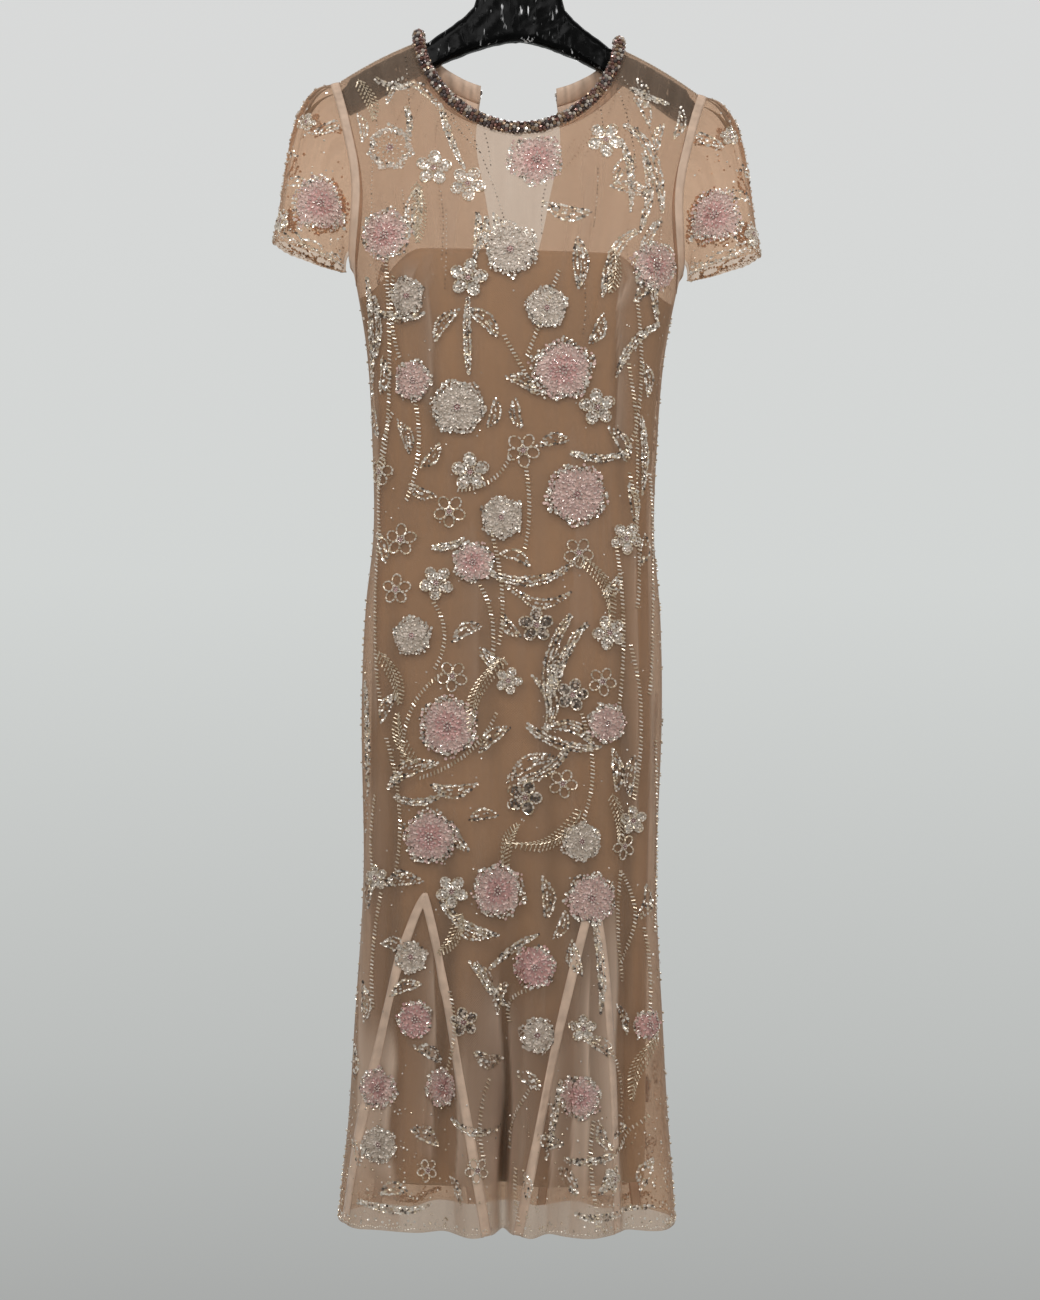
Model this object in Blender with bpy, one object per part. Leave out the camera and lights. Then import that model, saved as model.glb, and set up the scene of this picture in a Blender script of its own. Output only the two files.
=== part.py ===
"""A sheer sequin midi dress over a plain slip, hanging on a broad-shouldered hanger.

Sizes are in millimetres and turned into metres where a mesh is made. The origin is where the hook
rests on its rail, +Z is up, the front faces -Y and +X is the viewer's right. A "drop" is a distance
below the origin, so a point's height is minus its drop.
"""

import math

import bmesh
import bpy
from mathutils import Matrix, Vector

METRES = 0.001

# ---------------------------------------------------------------- driving dimensions
SEAM_GAP = 0.3  # between pieces that are sewn together
GODET_GAP = 0.6
ARMHOLE_GAP = 1.0
NET_WALL = 1.2  # sheer outer cloth
LINING_WALL = 1.2
TAPE_WALL = 1.0  # bias tape over the seams
FACING_WALL = 1.0

HEM_DROP = 1408.0  # sheer hem
LINING_HEM_DROP = 1364.0
WAIST_DROP = 640.0
UNDERARM_DROP = 424.0
SQUARENESS = 2.4  # superellipse exponent of the body's sections

# The hanger is not quite level: everything near it leans with it, and the skirt hangs straight.
LEAN = math.tan(math.radians(1.3))
LEAN_FULL_DROP = 260.0
LEAN_NONE_DROP = 620.0

# Shoulder ridge: the line where the cloth passes over the hanger's arms.
NECK_HALF_WIDTH = 106.0
RIDGE_DROP = 165.4  # at the side of the neck
RIDGE_SLOPE = 0.40
RIDGE_CURVE = 0.0017
RIDGE_ROLL = 18.0  # how far down the cloth takes to turn over the arm
SHOULDER_TIP = 190.8

# Beaded rope round the neck
ROPE_RADIUS = 6.6
ROPE_BEAD = 0.7  # how far the beads stand out of the rope
ROPE_SIDES = 8
ROPE_PITCH = 5.6
ROPE_TOP_DROP = 159.0
ROPE_FRONT_DROP = 258.6
ROPE_BACK_DROP = 222.0
ROPE_ROUNDNESS = 1.85
ROPE_REACH = ROPE_RADIUS + ROPE_BEAD
ROPE_GAP = 1.5

# Centre back opening, undone at the neck
BACK_NECK_EDGE = 40.0
OPENING_ROWS = (  # drop, half width of the opening
    (150.0, 34.0),
    (214.0, 40.0),
    (264.0, 45.0),
    (318.0, 35.0),
    (372.0, 24.0),
    (416.0, 9.0),
    (440.0, 0.0),
)

BODY_ROWS = (  # drop, half width, front depth, back depth
    (150.0, 246.0, 19.5, 19.5),
    (222.0, 224.0, 20.5, 20.0),
    (265.0, 210.0, 27.0, 24.0),
    (329.0, 193.0, 38.0, 32.0),
    (381.0, 180.0, 47.0, 38.0),
    (424.0, 169.6, 52.0, 42.0),
    (498.0, 157.0, 50.0, 40.0),
    (594.0, 150.5, 44.0, 36.0),
    (684.0, 148.5, 42.0, 38.0),
    (764.0, 156.0, 47.0, 46.0),
    (875.0, 159.0, 52.0, 52.0),
    (1049.0, 155.0, 55.0, 52.0),
    (1208.0, 161.0, 62.0, 58.0),
    (1293.0, 165.5, 66.0, 62.0),
    (1370.0, 174.0, 71.0, 66.0),
    (1408.0, 177.5, 74.0, 68.0),
)

ARMHOLE_ROWS = (  # drop, half width of the bodice at the armhole seam
    (211.54, 190.8),
    (240.6, 182.0),
    (271.0, 174.5),
    (299.0, 168.5),
    (326.5, 166.0),
    (354.0, 167.0),
    (376.0, 168.8),
    (400.0, 170.6),
    (424.0, 169.6),
)

# A fold: x where it starts and at the hem, half width where it starts and at the hem, height
# (below zero for a fold inwards), the drop where it starts and the drop where it is full.
FRONT_FOLDS = (
    (-150.0, -152.0, 15.0, 13.0, 7.0, 1010.0, 1400.0),
    (-84.0, -68.0, 16.0, 15.0, -15.0, 1000.0, 1400.0),
    (-60.0, -33.0, 20.0, 14.0, 14.0, 1020.0, 1400.0),
    (-2.0, -3.5, 26.0, 7.5, -32.0, 930.0, 1380.0),
    (34.0, 25.0, 14.0, 9.0, 12.0, 1050.0, 1400.0),
    (60.0, 46.0, 12.0, 10.0, -9.0, 1080.0, 1400.0),
    (88.0, 84.0, 25.0, 22.0, 15.0, 1000.0, 1400.0),
    (122.0, 131.0, 13.0, 13.0, -14.0, 640.0, 1400.0),
    (150.0, 160.0, 15.0, 13.0, 7.0, 1010.0, 1400.0),
)
BACK_FOLDS = (
    (-135.0, -140.0, 16.0, 14.0, 8.0, 960.0, 1400.0),
    (-104.0, -106.0, 16.0, 14.0, -14.0, 900.0, 1400.0),
    (-78.0, -72.0, 18.0, 15.0, 13.0, 980.0, 1400.0),
    (-42.0, -36.0, 16.0, 12.0, -13.0, 960.0, 1400.0),
    (0.0, 0.0, 20.0, 18.0, 12.0, 900.0, 1400.0),
    (40.0, 35.0, 16.0, 12.0, -14.0, 980.0, 1400.0),
    (76.0, 71.0, 18.0, 15.0, 14.0, 960.0, 1400.0),
    (104.0, 108.0, 15.0, 14.0, -12.0, 920.0, 1400.0),
    (137.0, 142.0, 16.0, 14.0, 8.0, 980.0, 1400.0),
)
LINING_FRONT_FOLDS = (
    (-95.0, -98.0, 24.0, 24.0, 4.0, 820.0, 1360.0),
    (-45.0, -45.0, 20.0, 20.0, 3.0, 900.0, 1360.0),
    (-2.0, -3.5, 26.0, 14.0, -24.0, 900.0, 1350.0),
    (55.0, 52.0, 20.0, 20.0, 3.0, 900.0, 1360.0),
    (118.0, 121.0, 14.0, 14.0, -6.0, 640.0, 1360.0),
)
LINING_BACK_FOLDS = (
    (-70.0, -74.0, 26.0, 26.0, 5.0, 800.0, 1360.0),
    (-20.0, -22.0, 20.0, 20.0, -7.0, 820.0, 1360.0),
    (32.0, 34.0, 22.0, 22.0, 5.0, 840.0, 1360.0),
    (92.0, 90.0, 20.0, 20.0, -6.0, 820.0, 1360.0),
)

LINING_EASE = (  # drop, how far the lining lies inside the net: at the side, in front, behind
    (380.0, 0.5, 3.0, 3.0),
    (436.0, 0.5, 3.0, 3.0),
    (467.0, 0.6, 3.0, 3.0),
    (498.0, 2.4, 3.2, 3.2),
    (594.0, 3.2, 3.2, 3.2),
    (684.0, 4.0, 4.0, 4.0),
    (764.0, 8.0, 5.0, 5.0),
    (875.0, 9.0, 6.0, 6.0),
    (1049.0, 6.0, 8.0, 7.5),
    (1208.0, 14.0, 16.0, 14.0),
    (1293.0, 18.0, 20.0, 17.0),
    (1370.0, 27.0, 24.0, 20.0),
)
LINING_TOP_DROP = 389.6
LINING_TOP_HALF = 98.0  # half width of its straight top edge
LINING_SIDE_DROP = 438.0
LINING_BACK_TOP_DROP = 404.0

# Godets: wedges let into the skirt, each between two taped seams that spread from a point.
GODET_DROP = 1058.0
TAPE_WIDTH = 8.0
TAPE_TOP = 0.006  # share of the godet's height at which the tape begins
TAPE_FORK = 0.03  # share at which the tape forks and the wedge begins
GODET_STEPS = (0.0, TAPE_FORK, 0.125, 0.25, 0.375, 0.5, 0.625, 0.75, 0.875, 1.0)
FRONT_GODETS = (  # name, x of the point, x of its left and right seams at the hem, their bends
    ("front_left", -87.0, -171.0, -15.0, 0.65, 0.85),
    ("front_right", 84.0, 8.0, 120.0, 0.85, 0.45),
)
BACK_GODETS = (  # name, x of the point, x of its left and right seams at the hem, their bends
    ("back_left", -84.0, -142.0, -34.0, 0.65, 0.85),
    ("back_right", 84.0, 34.0, 142.0, 0.85, 0.65),
)

# Sleeves
SLEEVE_HEM_CENTRE = 219.0
SLEEVE_HEM_HALF = 40.0
SLEEVE_HEM_DEPTH = 46.0
SLEEVE_HEM_DROP = 395.0
SLEEVE_HEM_SLANT = 13.0
SLEEVE_START = 0.55  # armhole steps below which the sleeve is left open under the arm
SLEEVE_END_TURN = 0.35
SLEEVE_GATHER = 3.0
SLEEVE_ROWS = 6
ARMHOLE_ROUND = 16  # armhole steps up the front and down the back
ARMHOLE_TAPE = 6.0

FACING_ROWS = 3  # rows of the back panel that the neck facing covers
FACING_GAP = 0.5

# Hanger and hook
HANGER_HALF_THICKNESS = 9.3
HANGER_EDGE = 6.5  # radius of its rounded edges
HANGER_CLEARANCE = 4.0  # from the outside of the cloth down to the arm
HANGER_TIP = 189.5
HANGER_TIP_DROP = 229.0
HANGER_TIP_RADIUS = 17.0
HANGER_ARCH_DROP = 161.7
HANGER_ARCH = 0.0363  # the arm's underside falls by this times x to the power 1.5
HANGER_SHOULDERS = (  # x, drop: from the boss round the hook down to the arm
    (8.0, 66.0),
    (10.0, 73.0),
    (20.0, 77.5),
    (33.0, 86.0),
    (41.5, 99.0),
    (45.0, 114.0),
    (49.0, 127.0),
    (58.5, 137.5),
    (71.0, 147.5),
    (84.0, 156.6),
)
HANGER_ARM_END = 178.0  # x where the arm's top starts to turn round the tip
HANGER_ARM_PARTS = 8
HANGER_TIP_DEGREES = range(-55, 80, 18)
HANGER_ARCH_END = 164.0
HANGER_ARCH_PARTS = 12
HANGER_EDGE_DEGREES = (-90, -52, -18, 18, 52, 90)
HOOK_WIRE = 1.9
HOOK_RADIUS = 20.0
HOOK_STEM_DROP = 50.0
HOOK_BEND = 9.0  # reach of the curve out of the stem
HOOK_BEND_PARTS = 7
HOOK_FIRST_DEGREES = -48
HOOK_LAST_DEGREES = 205
HOOK_STEP_DEGREES = 12
HOOK_SIDES = 8

ARMHOLE_STEPS = 8  # from the underarm to the shoulder
SHOULDER_COLUMNS = 3
FRONT_NECK_COLUMNS = 9
BACK_NECK_COLUMNS = 7
SIDE_SEAM_ROWS = 5  # from the underarm to the waist
COLUMN_SPREAD = 0.6  # how soon a panel's columns part from its neck edge
WAIST_TO_GODET_ROWS = 6
SIDE_ANGLE = 1.5  # radians round the section, nearly at the side seam
LINING_ROW_BUNCHING = 1.4

MATERIALS = {  # name: colour, roughness, metallic, opacity
    "net": ((0.62, 0.45, 0.34), 0.75, 0.0, 0.55),
    "lining": ((0.20, 0.125, 0.078), 0.55, 0.0, 1.0),
    "tape": ((0.62, 0.38, 0.25), 0.65, 0.0, 1.0),
    "beads": ((0.22, 0.13, 0.10), 0.25, 0.4, 1.0),
    "hanger": ((0.006, 0.006, 0.006), 0.25, 0.0, 1.0),
    "hook": ((0.45, 0.45, 0.46), 0.3, 1.0, 1.0),
}


# ---------------------------------------------------------------- curves and tables
def along(rows, drop, column):
    """A smooth curve through one column of a table whose first column rises."""
    last = len(rows) - 1
    at = max(0, min(last - 1, sum(1 for row in rows if row[0] <= drop) - 1))
    low, high = rows[at], rows[at + 1]
    span = high[0] - low[0]
    share = max(0.0, min(1.0, (drop - low[0]) / span))

    def slope(index):
        before, after = rows[max(0, index - 1)], rows[min(last, index + 1)]
        return (after[column] - before[column]) / (after[0] - before[0])

    square, cube = share * share, share**3
    return (
        (2 * cube - 3 * square + 1) * low[column]
        + (cube - 2 * square + share) * span * slope(at)
        + (3 * square - 2 * cube) * high[column]
        + (cube - square) * span * slope(at + 1)
    )


def ease(share):
    share = max(0.0, min(1.0, share))
    return share * share * (3 - 2 * share)


def mix(a, b, share):
    return a + (b - a) * share


def knots(share, steps, values):
    """The value at a share of the way, straight between the values at the given steps."""
    for low in range(len(steps) - 1):
        if share <= steps[low + 1]:
            part = (share - steps[low]) / (steps[low + 1] - steps[low])
            return mix(values[low], values[low + 1], part)
    return values[-1]


def leaning(point):
    """The point after everything near the hanger leans with it."""
    share = 1 - ease((-point.z - LEAN_FULL_DROP) / (LEAN_NONE_DROP - LEAN_FULL_DROP))
    return Vector((point.x, point.y, point.z - LEAN * share * point.x))


# ---------------------------------------------------------------- the body's surface
def ridge_drop(x):
    out = abs(x) - NECK_HALF_WIDTH
    return RIDGE_DROP + RIDGE_SLOPE * out + RIDGE_CURVE * out * out


def fold_height(folds, x, drop):
    """How far the folds push the cloth outwards there."""
    total = 0.0
    for top_x, hem_x, top_width, hem_width, height, start, full in folds:
        share = (drop - start) / (full - start)
        if share > 0:
            middle = mix(top_x, hem_x, min(1.0, share))
            half_width = mix(top_width, hem_width, min(1.0, share))
            total += height * ease(share) * math.exp(-(((x - middle) / half_width) ** 2))
    return total


def section(drop, side, inside=0.0, eases=None):
    """Half width and depth of the body's section; side is -1 in front and 1 behind."""
    half = along(BODY_ROWS, drop, 1) - inside
    depth = along(BODY_ROWS, drop, 2 if side < 0 else 3) - inside
    if eases:
        half -= along(eases, drop, 1)
        depth -= along(eases, drop, 2 if side < 0 else 3)
    return half, depth


def body_point(angle, drop, side, folds, inside=0.0, eases=None):
    """A point of the body. The angle round its section is 0 in the middle and a right angle at the
    side seam; past the side seam, or past the shoulder ridge, the surface goes on behind."""
    half, depth = section(drop, side, inside, eases)
    power = 2 / SQUARENESS
    x = half * placed(angle)
    beyond = ridge_drop(x) - drop
    if beyond > 0:
        drop += 2 * beyond
    behind = (-1 if beyond > 0 else 1) * math.copysign(1, math.cos(angle))
    y = depth * abs(math.cos(angle)) ** power
    out = Vector((x / half**2, side * y / depth**2, 0.0)).normalized()
    y *= ridge_roll(drop - ridge_drop(x)) * behind
    return Vector((x, side * (SEAM_GAP / 2 + y), -drop)) + out * fold_height(folds, x, drop)


def ridge_roll(below):
    """The share of its depth that the cloth has reached, this far below the shoulder ridge."""
    return math.sqrt(max(0.0, 1 - max(0.0, 1 - below / RIDGE_ROLL) ** 2))


def turned(share):
    """The angle at which x is this share of the half width; placed() is the other way round."""
    return math.asin(min(1.0, abs(share) ** (SQUARENESS / 2))) * math.copysign(1, share)


def placed(angle):
    return math.copysign(abs(math.sin(angle)) ** (2 / SQUARENESS), angle)


def outer_and_inner(surface, across, down, thickness, lift=0.0):
    """The wall's outer and inner points where surface(across, down) lies."""
    turn, step = 0.004, 0.5
    here = surface(across, down)
    over = surface(across + turn, down) - surface(across - turn, down)
    under = surface(across, down + step) - surface(across, down - step)
    normal = over.cross(under).normalized()
    if here.y < 0:
        normal.negate()
    return here + normal * lift, here + normal * (lift - thickness)


# ---------------------------------------------------------------- making meshes
def material(name):
    made = bpy.data.materials.get(name)
    if made:
        return made
    colour, roughness, metallic, opacity = MATERIALS[name]
    made = bpy.data.materials.new(name)
    made.use_nodes = True
    shader = made.node_tree.nodes["Principled BSDF"]
    shader.inputs["Base Color"].default_value = (*colour, 1.0)
    shader.inputs["Roughness"].default_value = roughness
    shader.inputs["Metallic"].default_value = metallic
    shader.inputs["Alpha"].default_value = opacity
    return made


def finished(bm, name, finish):
    """Turns a bmesh in millimetres into a named object in metres."""
    for vert in bm.verts:
        vert.co = leaning(vert.co) * METRES
    bmesh.ops.recalc_face_normals(bm, faces=bm.faces)
    if bm.calc_volume(signed=True) < 0:
        bmesh.ops.reverse_faces(bm, faces=bm.faces)
    mesh = bpy.data.meshes.new(name)
    bm.to_mesh(mesh)
    bm.free()
    mesh.shade_smooth()
    mesh.set_sharp_from_angle(angle=math.radians(50))
    mesh.materials.append(material(finish))
    made = bpy.data.objects.new(name, mesh)
    bpy.context.scene.collection.objects.link(made)
    return made


def cloth(name, patches, finish, mirrored=False):
    """A closed cloth wall. A patch is rows of (outer, inner) points, and patches meet where their
    outer points do. The sheet of outer points is extruded, and its copy moved to the inner ones."""
    bm = bmesh.new()
    inner_of = []
    made = {}
    label = bm.verts.layers.int.new("point")

    def vertex(pair):
        key = tuple(round(value, 3) for value in pair[0])
        if key not in made:
            vert = bm.verts.new(pair[0])
            vert[label] = len(inner_of)
            inner_of.append(pair[1])
            made[key] = vert
        return made[key]

    for rows in patches:
        for upper, lower in zip(rows, rows[1:]):
            for column in range(len(upper) - 1):
                ends = (upper[column], upper[column + 1], lower[column + 1], lower[column])
                bm.faces.new([vertex(pair) for pair in ends])
    moved = bmesh.ops.extrude_face_region(bm, geom=bm.faces[:], use_keep_orig=True)
    for part in moved["geom"]:
        if isinstance(part, bmesh.types.BMVert):
            part.co = inner_of[part[label]]
    if mirrored:
        bmesh.ops.transform(bm, matrix=Matrix.Scale(-1, 4, (1, 0, 0)), verts=bm.verts)
    return finished(bm, name, finish)


def tube(name, rings, finish):
    """A closed tube through rings of points."""
    bm = bmesh.new()
    loops = [[bm.verts.new(point) for point in ring] for ring in rings]
    count = len(loops[0])
    for first, second in zip(loops, loops[1:]):
        for turn in range(count):
            after = (turn + 1) % count
            bm.faces.new((first[turn], first[after], second[after], second[turn]))
    bm.faces.new(loops[0])
    bm.faces.new(loops[-1])
    return finished(bm, name, finish)


# ---------------------------------------------------------------- outlines of the bodice
def rope_point(turn, bottom):
    """x and drop of the rope's centre: turn is 0 beside the neck and a right angle at its middle."""
    power = 2 / ROPE_ROUNDNESS
    x = NECK_HALF_WIDTH * math.cos(turn) ** power
    return x, mix(ROPE_TOP_DROP, bottom, math.sin(turn) ** power)


def neck_edge(turn, bottom):
    """x and drop of the cloth's edge under the rope, just clear of it."""
    x, drop = rope_point(turn, bottom)
    step = 0.01
    onward = Vector((0.0, 1.0))
    if turn > 0:
        ahead = rope_point(min(math.pi / 2, turn + step), bottom)
        onward = (Vector(ahead) - Vector(rope_point(max(0.0, turn - step), bottom))).normalized()
    lifted = max(0.0, 1 - (drop - ROPE_TOP_DROP) / RIDGE_ROLL)
    rise = (RIDGE_DROP - ROPE_TOP_DROP) * lifted
    reach = math.sqrt((ROPE_REACH + ROPE_GAP) ** 2 - rise**2)
    x += onward.y * reach
    return x, drop - onward.x * reach + lifted * (ridge_drop(x) - ROPE_TOP_DROP)


def back_neck_turn():
    """The turn at which the back neckline reaches the opening."""
    low, high = 0.0, math.pi / 2
    for _ in range(40):
        middle = (low + high) / 2
        if rope_point(middle, ROPE_BACK_DROP)[0] > BACK_NECK_EDGE:
            low = middle
        else:
            high = middle
    return low


def armhole_drop(step):
    share = 1 - (1 - step / ARMHOLE_STEPS) ** 2.3
    return mix(UNDERARM_DROP, ridge_drop(SHOULDER_TIP), share)


def bodice_top(side):
    """Angle and drop along the top of half a panel: in along the shoulder and down the neck."""
    bottom = ROPE_FRONT_DROP if side < 0 else ROPE_BACK_DROP
    corner = neck_edge(0.0, bottom)[0]
    points = []
    for step in range(SHOULDER_COLUMNS):
        x = mix(SHOULDER_TIP, corner, step / SHOULDER_COLUMNS)
        points.append((x, ridge_drop(x)))
    last = math.pi / 2 if side < 0 else back_neck_turn()
    columns = FRONT_NECK_COLUMNS if side < 0 else BACK_NECK_COLUMNS
    for step in range(columns + 1):
        points.append(neck_edge(last * (step / columns) ** 2, bottom))
    return [(turned(x / section(drop, side)[0]), drop) for x, drop in points]


def bodice_side(side):
    """Angle and drop down the side of half a panel: the armhole and then the side seam."""
    points = []
    for step in range(ARMHOLE_STEPS, 0, -1):
        drop = armhole_drop(step)
        points.append((turned(along(ARMHOLE_ROWS, drop, 1) / section(drop, side)[0]), drop))
    for row in range(SIDE_SEAM_ROWS + 1):
        points.append((math.pi / 2, mix(UNDERARM_DROP, WAIST_DROP, row / SIDE_SEAM_ROWS)))
    return points


def centre_angle(drop, side):
    """The angle at the centre front, or at the edge of the centre back."""
    if side < 0:
        return 0.0
    width = along(OPENING_ROWS, drop, 1) if drop < OPENING_ROWS[-1][0] else 0.0
    return turned(max(SEAM_GAP / 2, width) / section(drop, side)[0])


def bodice_rows(side, folds, sign=1):
    """Rows of points from the top of half a panel down to the waist, from the side inwards,
    blended from its four edges as angles and as drops below the shoulder ridge. sign is -1 for
    the viewer's left half."""
    top, edge = bodice_top(side), bodice_side(side)
    last = len(top) - 1
    waist_middle = centre_angle(WAIST_DROP, side)
    waist = [mix(math.pi / 2, waist_middle, column / last) for column in range(last + 1)]
    lows = [below_ridge(angle, WAIST_DROP, side) for angle in waist]
    highs = [below_ridge(angle, drop, side) for angle, drop in top]
    rows = []
    for edge_angle, edge_drop in edge:
        down = (edge_drop - edge[0][1]) / (WAIST_DROP - edge[0][1])
        spread = down**COLUMN_SPREAD
        centre_drop = mix(top[-1][1], WAIST_DROP, down)
        middle = centre_angle(centre_drop, side)
        edge_below = below_ridge(edge_angle, edge_drop, side)
        centre_below = below_ridge(middle, centre_drop, side)
        points = []
        for column in range(last + 1):
            inward = column / last
            angle = mix(top[column][0], waist[column], spread) + mix(edge_angle, middle, inward)
            angle -= mix(
                mix(top[0][0], top[-1][0], inward), mix(waist[0], waist[-1], inward), spread
            )
            below = mix(highs[column], lows[column], down) + mix(edge_below, centre_below, inward)
            below -= mix(mix(highs[0], highs[-1], inward), mix(lows[0], lows[-1], inward), down)
            drop = edge_drop
            for _ in range(12):
                drop = below + ridge_drop(section(drop, side)[0] * placed(angle))
            points.append(net_pair(sign * placed(angle), drop, side, folds))
        rows.append(points)
    return rows


def below_ridge(angle, drop, side):
    return drop - ridge_drop(section(drop, side)[0] * placed(angle))


def net_pair(share, drop, side, folds):
    def surface(angle, at):
        return body_point(angle, at, side, folds)

    return outer_and_inner(surface, turned(share), drop, NET_WALL)


# ---------------------------------------------------------------- skirt, godets and tapes
def godet_edges(godet, share):
    """x of the slit's two edges and of the wedge's two edges, at a share of the godet's height."""
    _, point_x, left_hem, right_hem, left_bend, right_bend = godet
    lefts = [mix(point_x, left_hem, step**left_bend) for step in GODET_STEPS]
    rights = [mix(point_x, right_hem, step**right_bend) for step in GODET_STEPS]
    widths = [min(TAPE_WIDTH, (right - left) / 2) for left, right in zip(lefts, rights)]
    widths[1] = (rights[1] - lefts[1]) / 2
    left, right, width = (knots(share, GODET_STEPS, values) for values in (lefts, rights, widths))
    return left, left + width, right - width, right


def clearance(x, drop, side, folds):
    """A godet's seam gap as a distance in x, longer where a fold turns the cloth away."""
    slope = fold_height(folds, x + 0.5, drop) - fold_height(folds, x - 0.5, drop)
    return GODET_GAP * math.sqrt(1 + slope * slope)


def places(start, end, half, columns):
    """Shares of the half width from one x to another: evenly spaced, or evenly turned round the
    section if they reach a side seam."""
    first, last = turned(max(-1.0, start / half)), turned(min(1.0, end / half))
    steps = [column / columns for column in range(columns + 1)]
    if max(abs(first), abs(last)) > SIDE_ANGLE:
        return [placed(mix(first, last, step)) for step in steps]
    return [mix(start, end, step) / half for step in steps]


def skirt_row(drop, side, folds, start, end, columns):
    """Points from one x to another at a drop."""
    half = section(drop, side)[0]
    return [net_pair(place, drop, side, folds) for place in places(start, end, half, columns)]


def godet_drop(share):
    return mix(GODET_DROP, HEM_DROP, share)


def godet_wedge(godet, side, folds, columns):
    """The wedge itself, clear of its tapes."""
    rows = []
    for share in (TAPE_FORK + 0.018, *GODET_STEPS[2:]):
        _, left, right, _ = godet_edges(godet, share)
        drop = godet_drop(share)
        left += clearance(left, drop, side, folds)
        right -= clearance(right, drop, side, folds)
        rows.append(skirt_row(drop, side, folds, left, right, columns))
    return cloth("godet_" + godet[0], [rows], "net")


def godet_tape(godet, side, folds):
    """The tape over both seams of a godet: one strip that forks below the point."""

    def row(share, start, end, columns):
        points = skirt_row(godet_drop(share), side, folds, start, end, columns)
        return [(outer, outer.lerp(inner, TAPE_WALL / NET_WALL)) for outer, inner in points]

    joined, left_leg, right_leg = [], [], []
    for share in (TAPE_TOP, *GODET_STEPS[1:]):
        left, fork_left, fork_right, right = godet_edges(godet, share)
        left += clearance(left, godet_drop(share), side, folds)
        right -= clearance(right, godet_drop(share), side, folds)
        if share <= TAPE_FORK:
            middle = (left + right) / 2
            joined.append([*row(share, left, middle, 1), row(share, middle, right, 1)[1]])
        if share >= TAPE_FORK:
            if share == TAPE_FORK:
                fork_left = fork_right = (left + right) / 2
            left_leg.append(row(share, left, fork_left, 1))
            right_leg.append(row(share, fork_right, right, 1))
    return cloth("godet_tape_" + godet[0], [joined, left_leg, right_leg], "tape")


# ---------------------------------------------------------------- panels
def front_panel():
    """One panel from shoulder to hem, split below the godets' points into three legs."""
    left, right = bodice_rows(-1, FRONT_FOLDS, -1), bodice_rows(-1, FRONT_FOLDS, 1)
    bodice = [one + other[-2::-1] for one, other in zip(left, right)]
    columns = len(bodice[0]) - 1
    angles = [mix(-math.pi / 2, math.pi / 2, column / columns) for column in range(columns + 1)]
    patches = [bodice, *matched_skirt(-1, FRONT_FOLDS, FRONT_GODETS, angles)]
    return cloth("front_panel", patches, "net")


def matched_skirt(side, folds, godets, waist_angles):
    """The skirt below the waist: the bodice's own columns, moved across to the godets' points,
    and then a leg beside each godet."""
    columns = len(waist_angles) - 1
    apex_half = section(GODET_DROP, side)[0]
    splits = [0]
    for godet in godets:
        target = turned(godet[1] / apex_half)
        splits.append(min(range(columns + 1), key=lambda at: abs(waist_angles[at] - target)))
    splits.append(columns)
    legs = []
    for piece in range(len(splits) - 1):
        rows = []
        for share in GODET_STEPS:
            half = section(godet_drop(share), side)[0]
            start, end = placed(waist_angles[0]) * half, placed(waist_angles[-1]) * half
            if piece > 0:
                start = godet_edges(godets[piece - 1], share)[3]
            if piece < len(godets):
                end = godet_edges(godets[piece], share)[0]
            rows.append(places(start, end, half, splits[piece + 1] - splits[piece]))
        legs.append(rows)
    apex = [turned(place) for rows in legs for place in rows[0][:-1]] + [turned(legs[-1][0][-1])]
    whole = []
    for row in range(WAIST_TO_GODET_ROWS + 1):
        share = row / WAIST_TO_GODET_ROWS
        drop = mix(WAIST_DROP, GODET_DROP, share)
        turns = [mix(high, low, share) for high, low in zip(waist_angles, apex)]
        whole.append([net_pair(placed(turn), drop, side, folds) for turn in turns])
    patches = [whole]
    for rows in legs:
        drops = [godet_drop(share) for share in GODET_STEPS]
        patches.append(
            [[net_pair(place, drop, side, folds) for place in row] for row, drop in zip(rows, drops)]
        )
    return patches


def back_panel(name, sign, godet):
    """Half the back, from the side seam to the centre back."""
    rows = bodice_rows(1, BACK_FOLDS, sign)
    columns = len(rows[0]) - 1
    edge = centre_angle(WAIST_DROP, 1)
    angles = [mix(math.pi / 2, edge, column / columns) * sign for column in range(columns + 1)]
    if sign > 0:
        rows = [row[::-1] for row in rows]
        angles = angles[::-1]
    patches = [rows, *matched_skirt(1, BACK_FOLDS, (godet,), angles)]
    return cloth(name, patches, "net")


def neck_facing(name, sign):
    """The turned-in edge of the back neck, inside the panel and seen through the neck."""
    first = SHOULDER_COLUMNS + 3
    rows = []
    for panel_row in bodice_rows(1, BACK_FOLDS, sign)[: FACING_ROWS + 1]:
        points = []
        for outer, inner in panel_row[first:]:
            inward = (inner - outer).normalized()
            start = inner + inward * FACING_GAP
            points.append((start, start + inward * FACING_WALL))
        rows.append(points)
    return cloth(name, [rows], "tape")


# ---------------------------------------------------------------- lining
def lining_panel(name, side, folds, columns, rows):
    """Half of the slip: straight across the bust in front, cut down to the side seams."""

    def surface(angle, at):
        return body_point(angle, at, side, folds, NET_WALL, LINING_EASE)

    top = LINING_TOP_DROP if side < 0 else LINING_BACK_TOP_DROP
    made = []
    for row in range(rows + 1):
        down = (row / rows) ** LINING_ROW_BUNCHING
        points = []
        for column in range(columns + 1):
            angle = mix(-math.pi / 2, math.pi / 2, column / columns)
            half = section(top, side, NET_WALL, LINING_EASE)[0]
            out = max(0.0, abs(placed(angle)) * half - LINING_TOP_HALF) / (half - LINING_TOP_HALF)
            edge = mix(top, LINING_SIDE_DROP, ease(out))
            points.append(
                outer_and_inner(surface, angle, mix(edge, LINING_HEM_DROP, down), LINING_WALL)
            )
        made.append(points)
    return cloth(name, [made], "lining")


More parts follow.
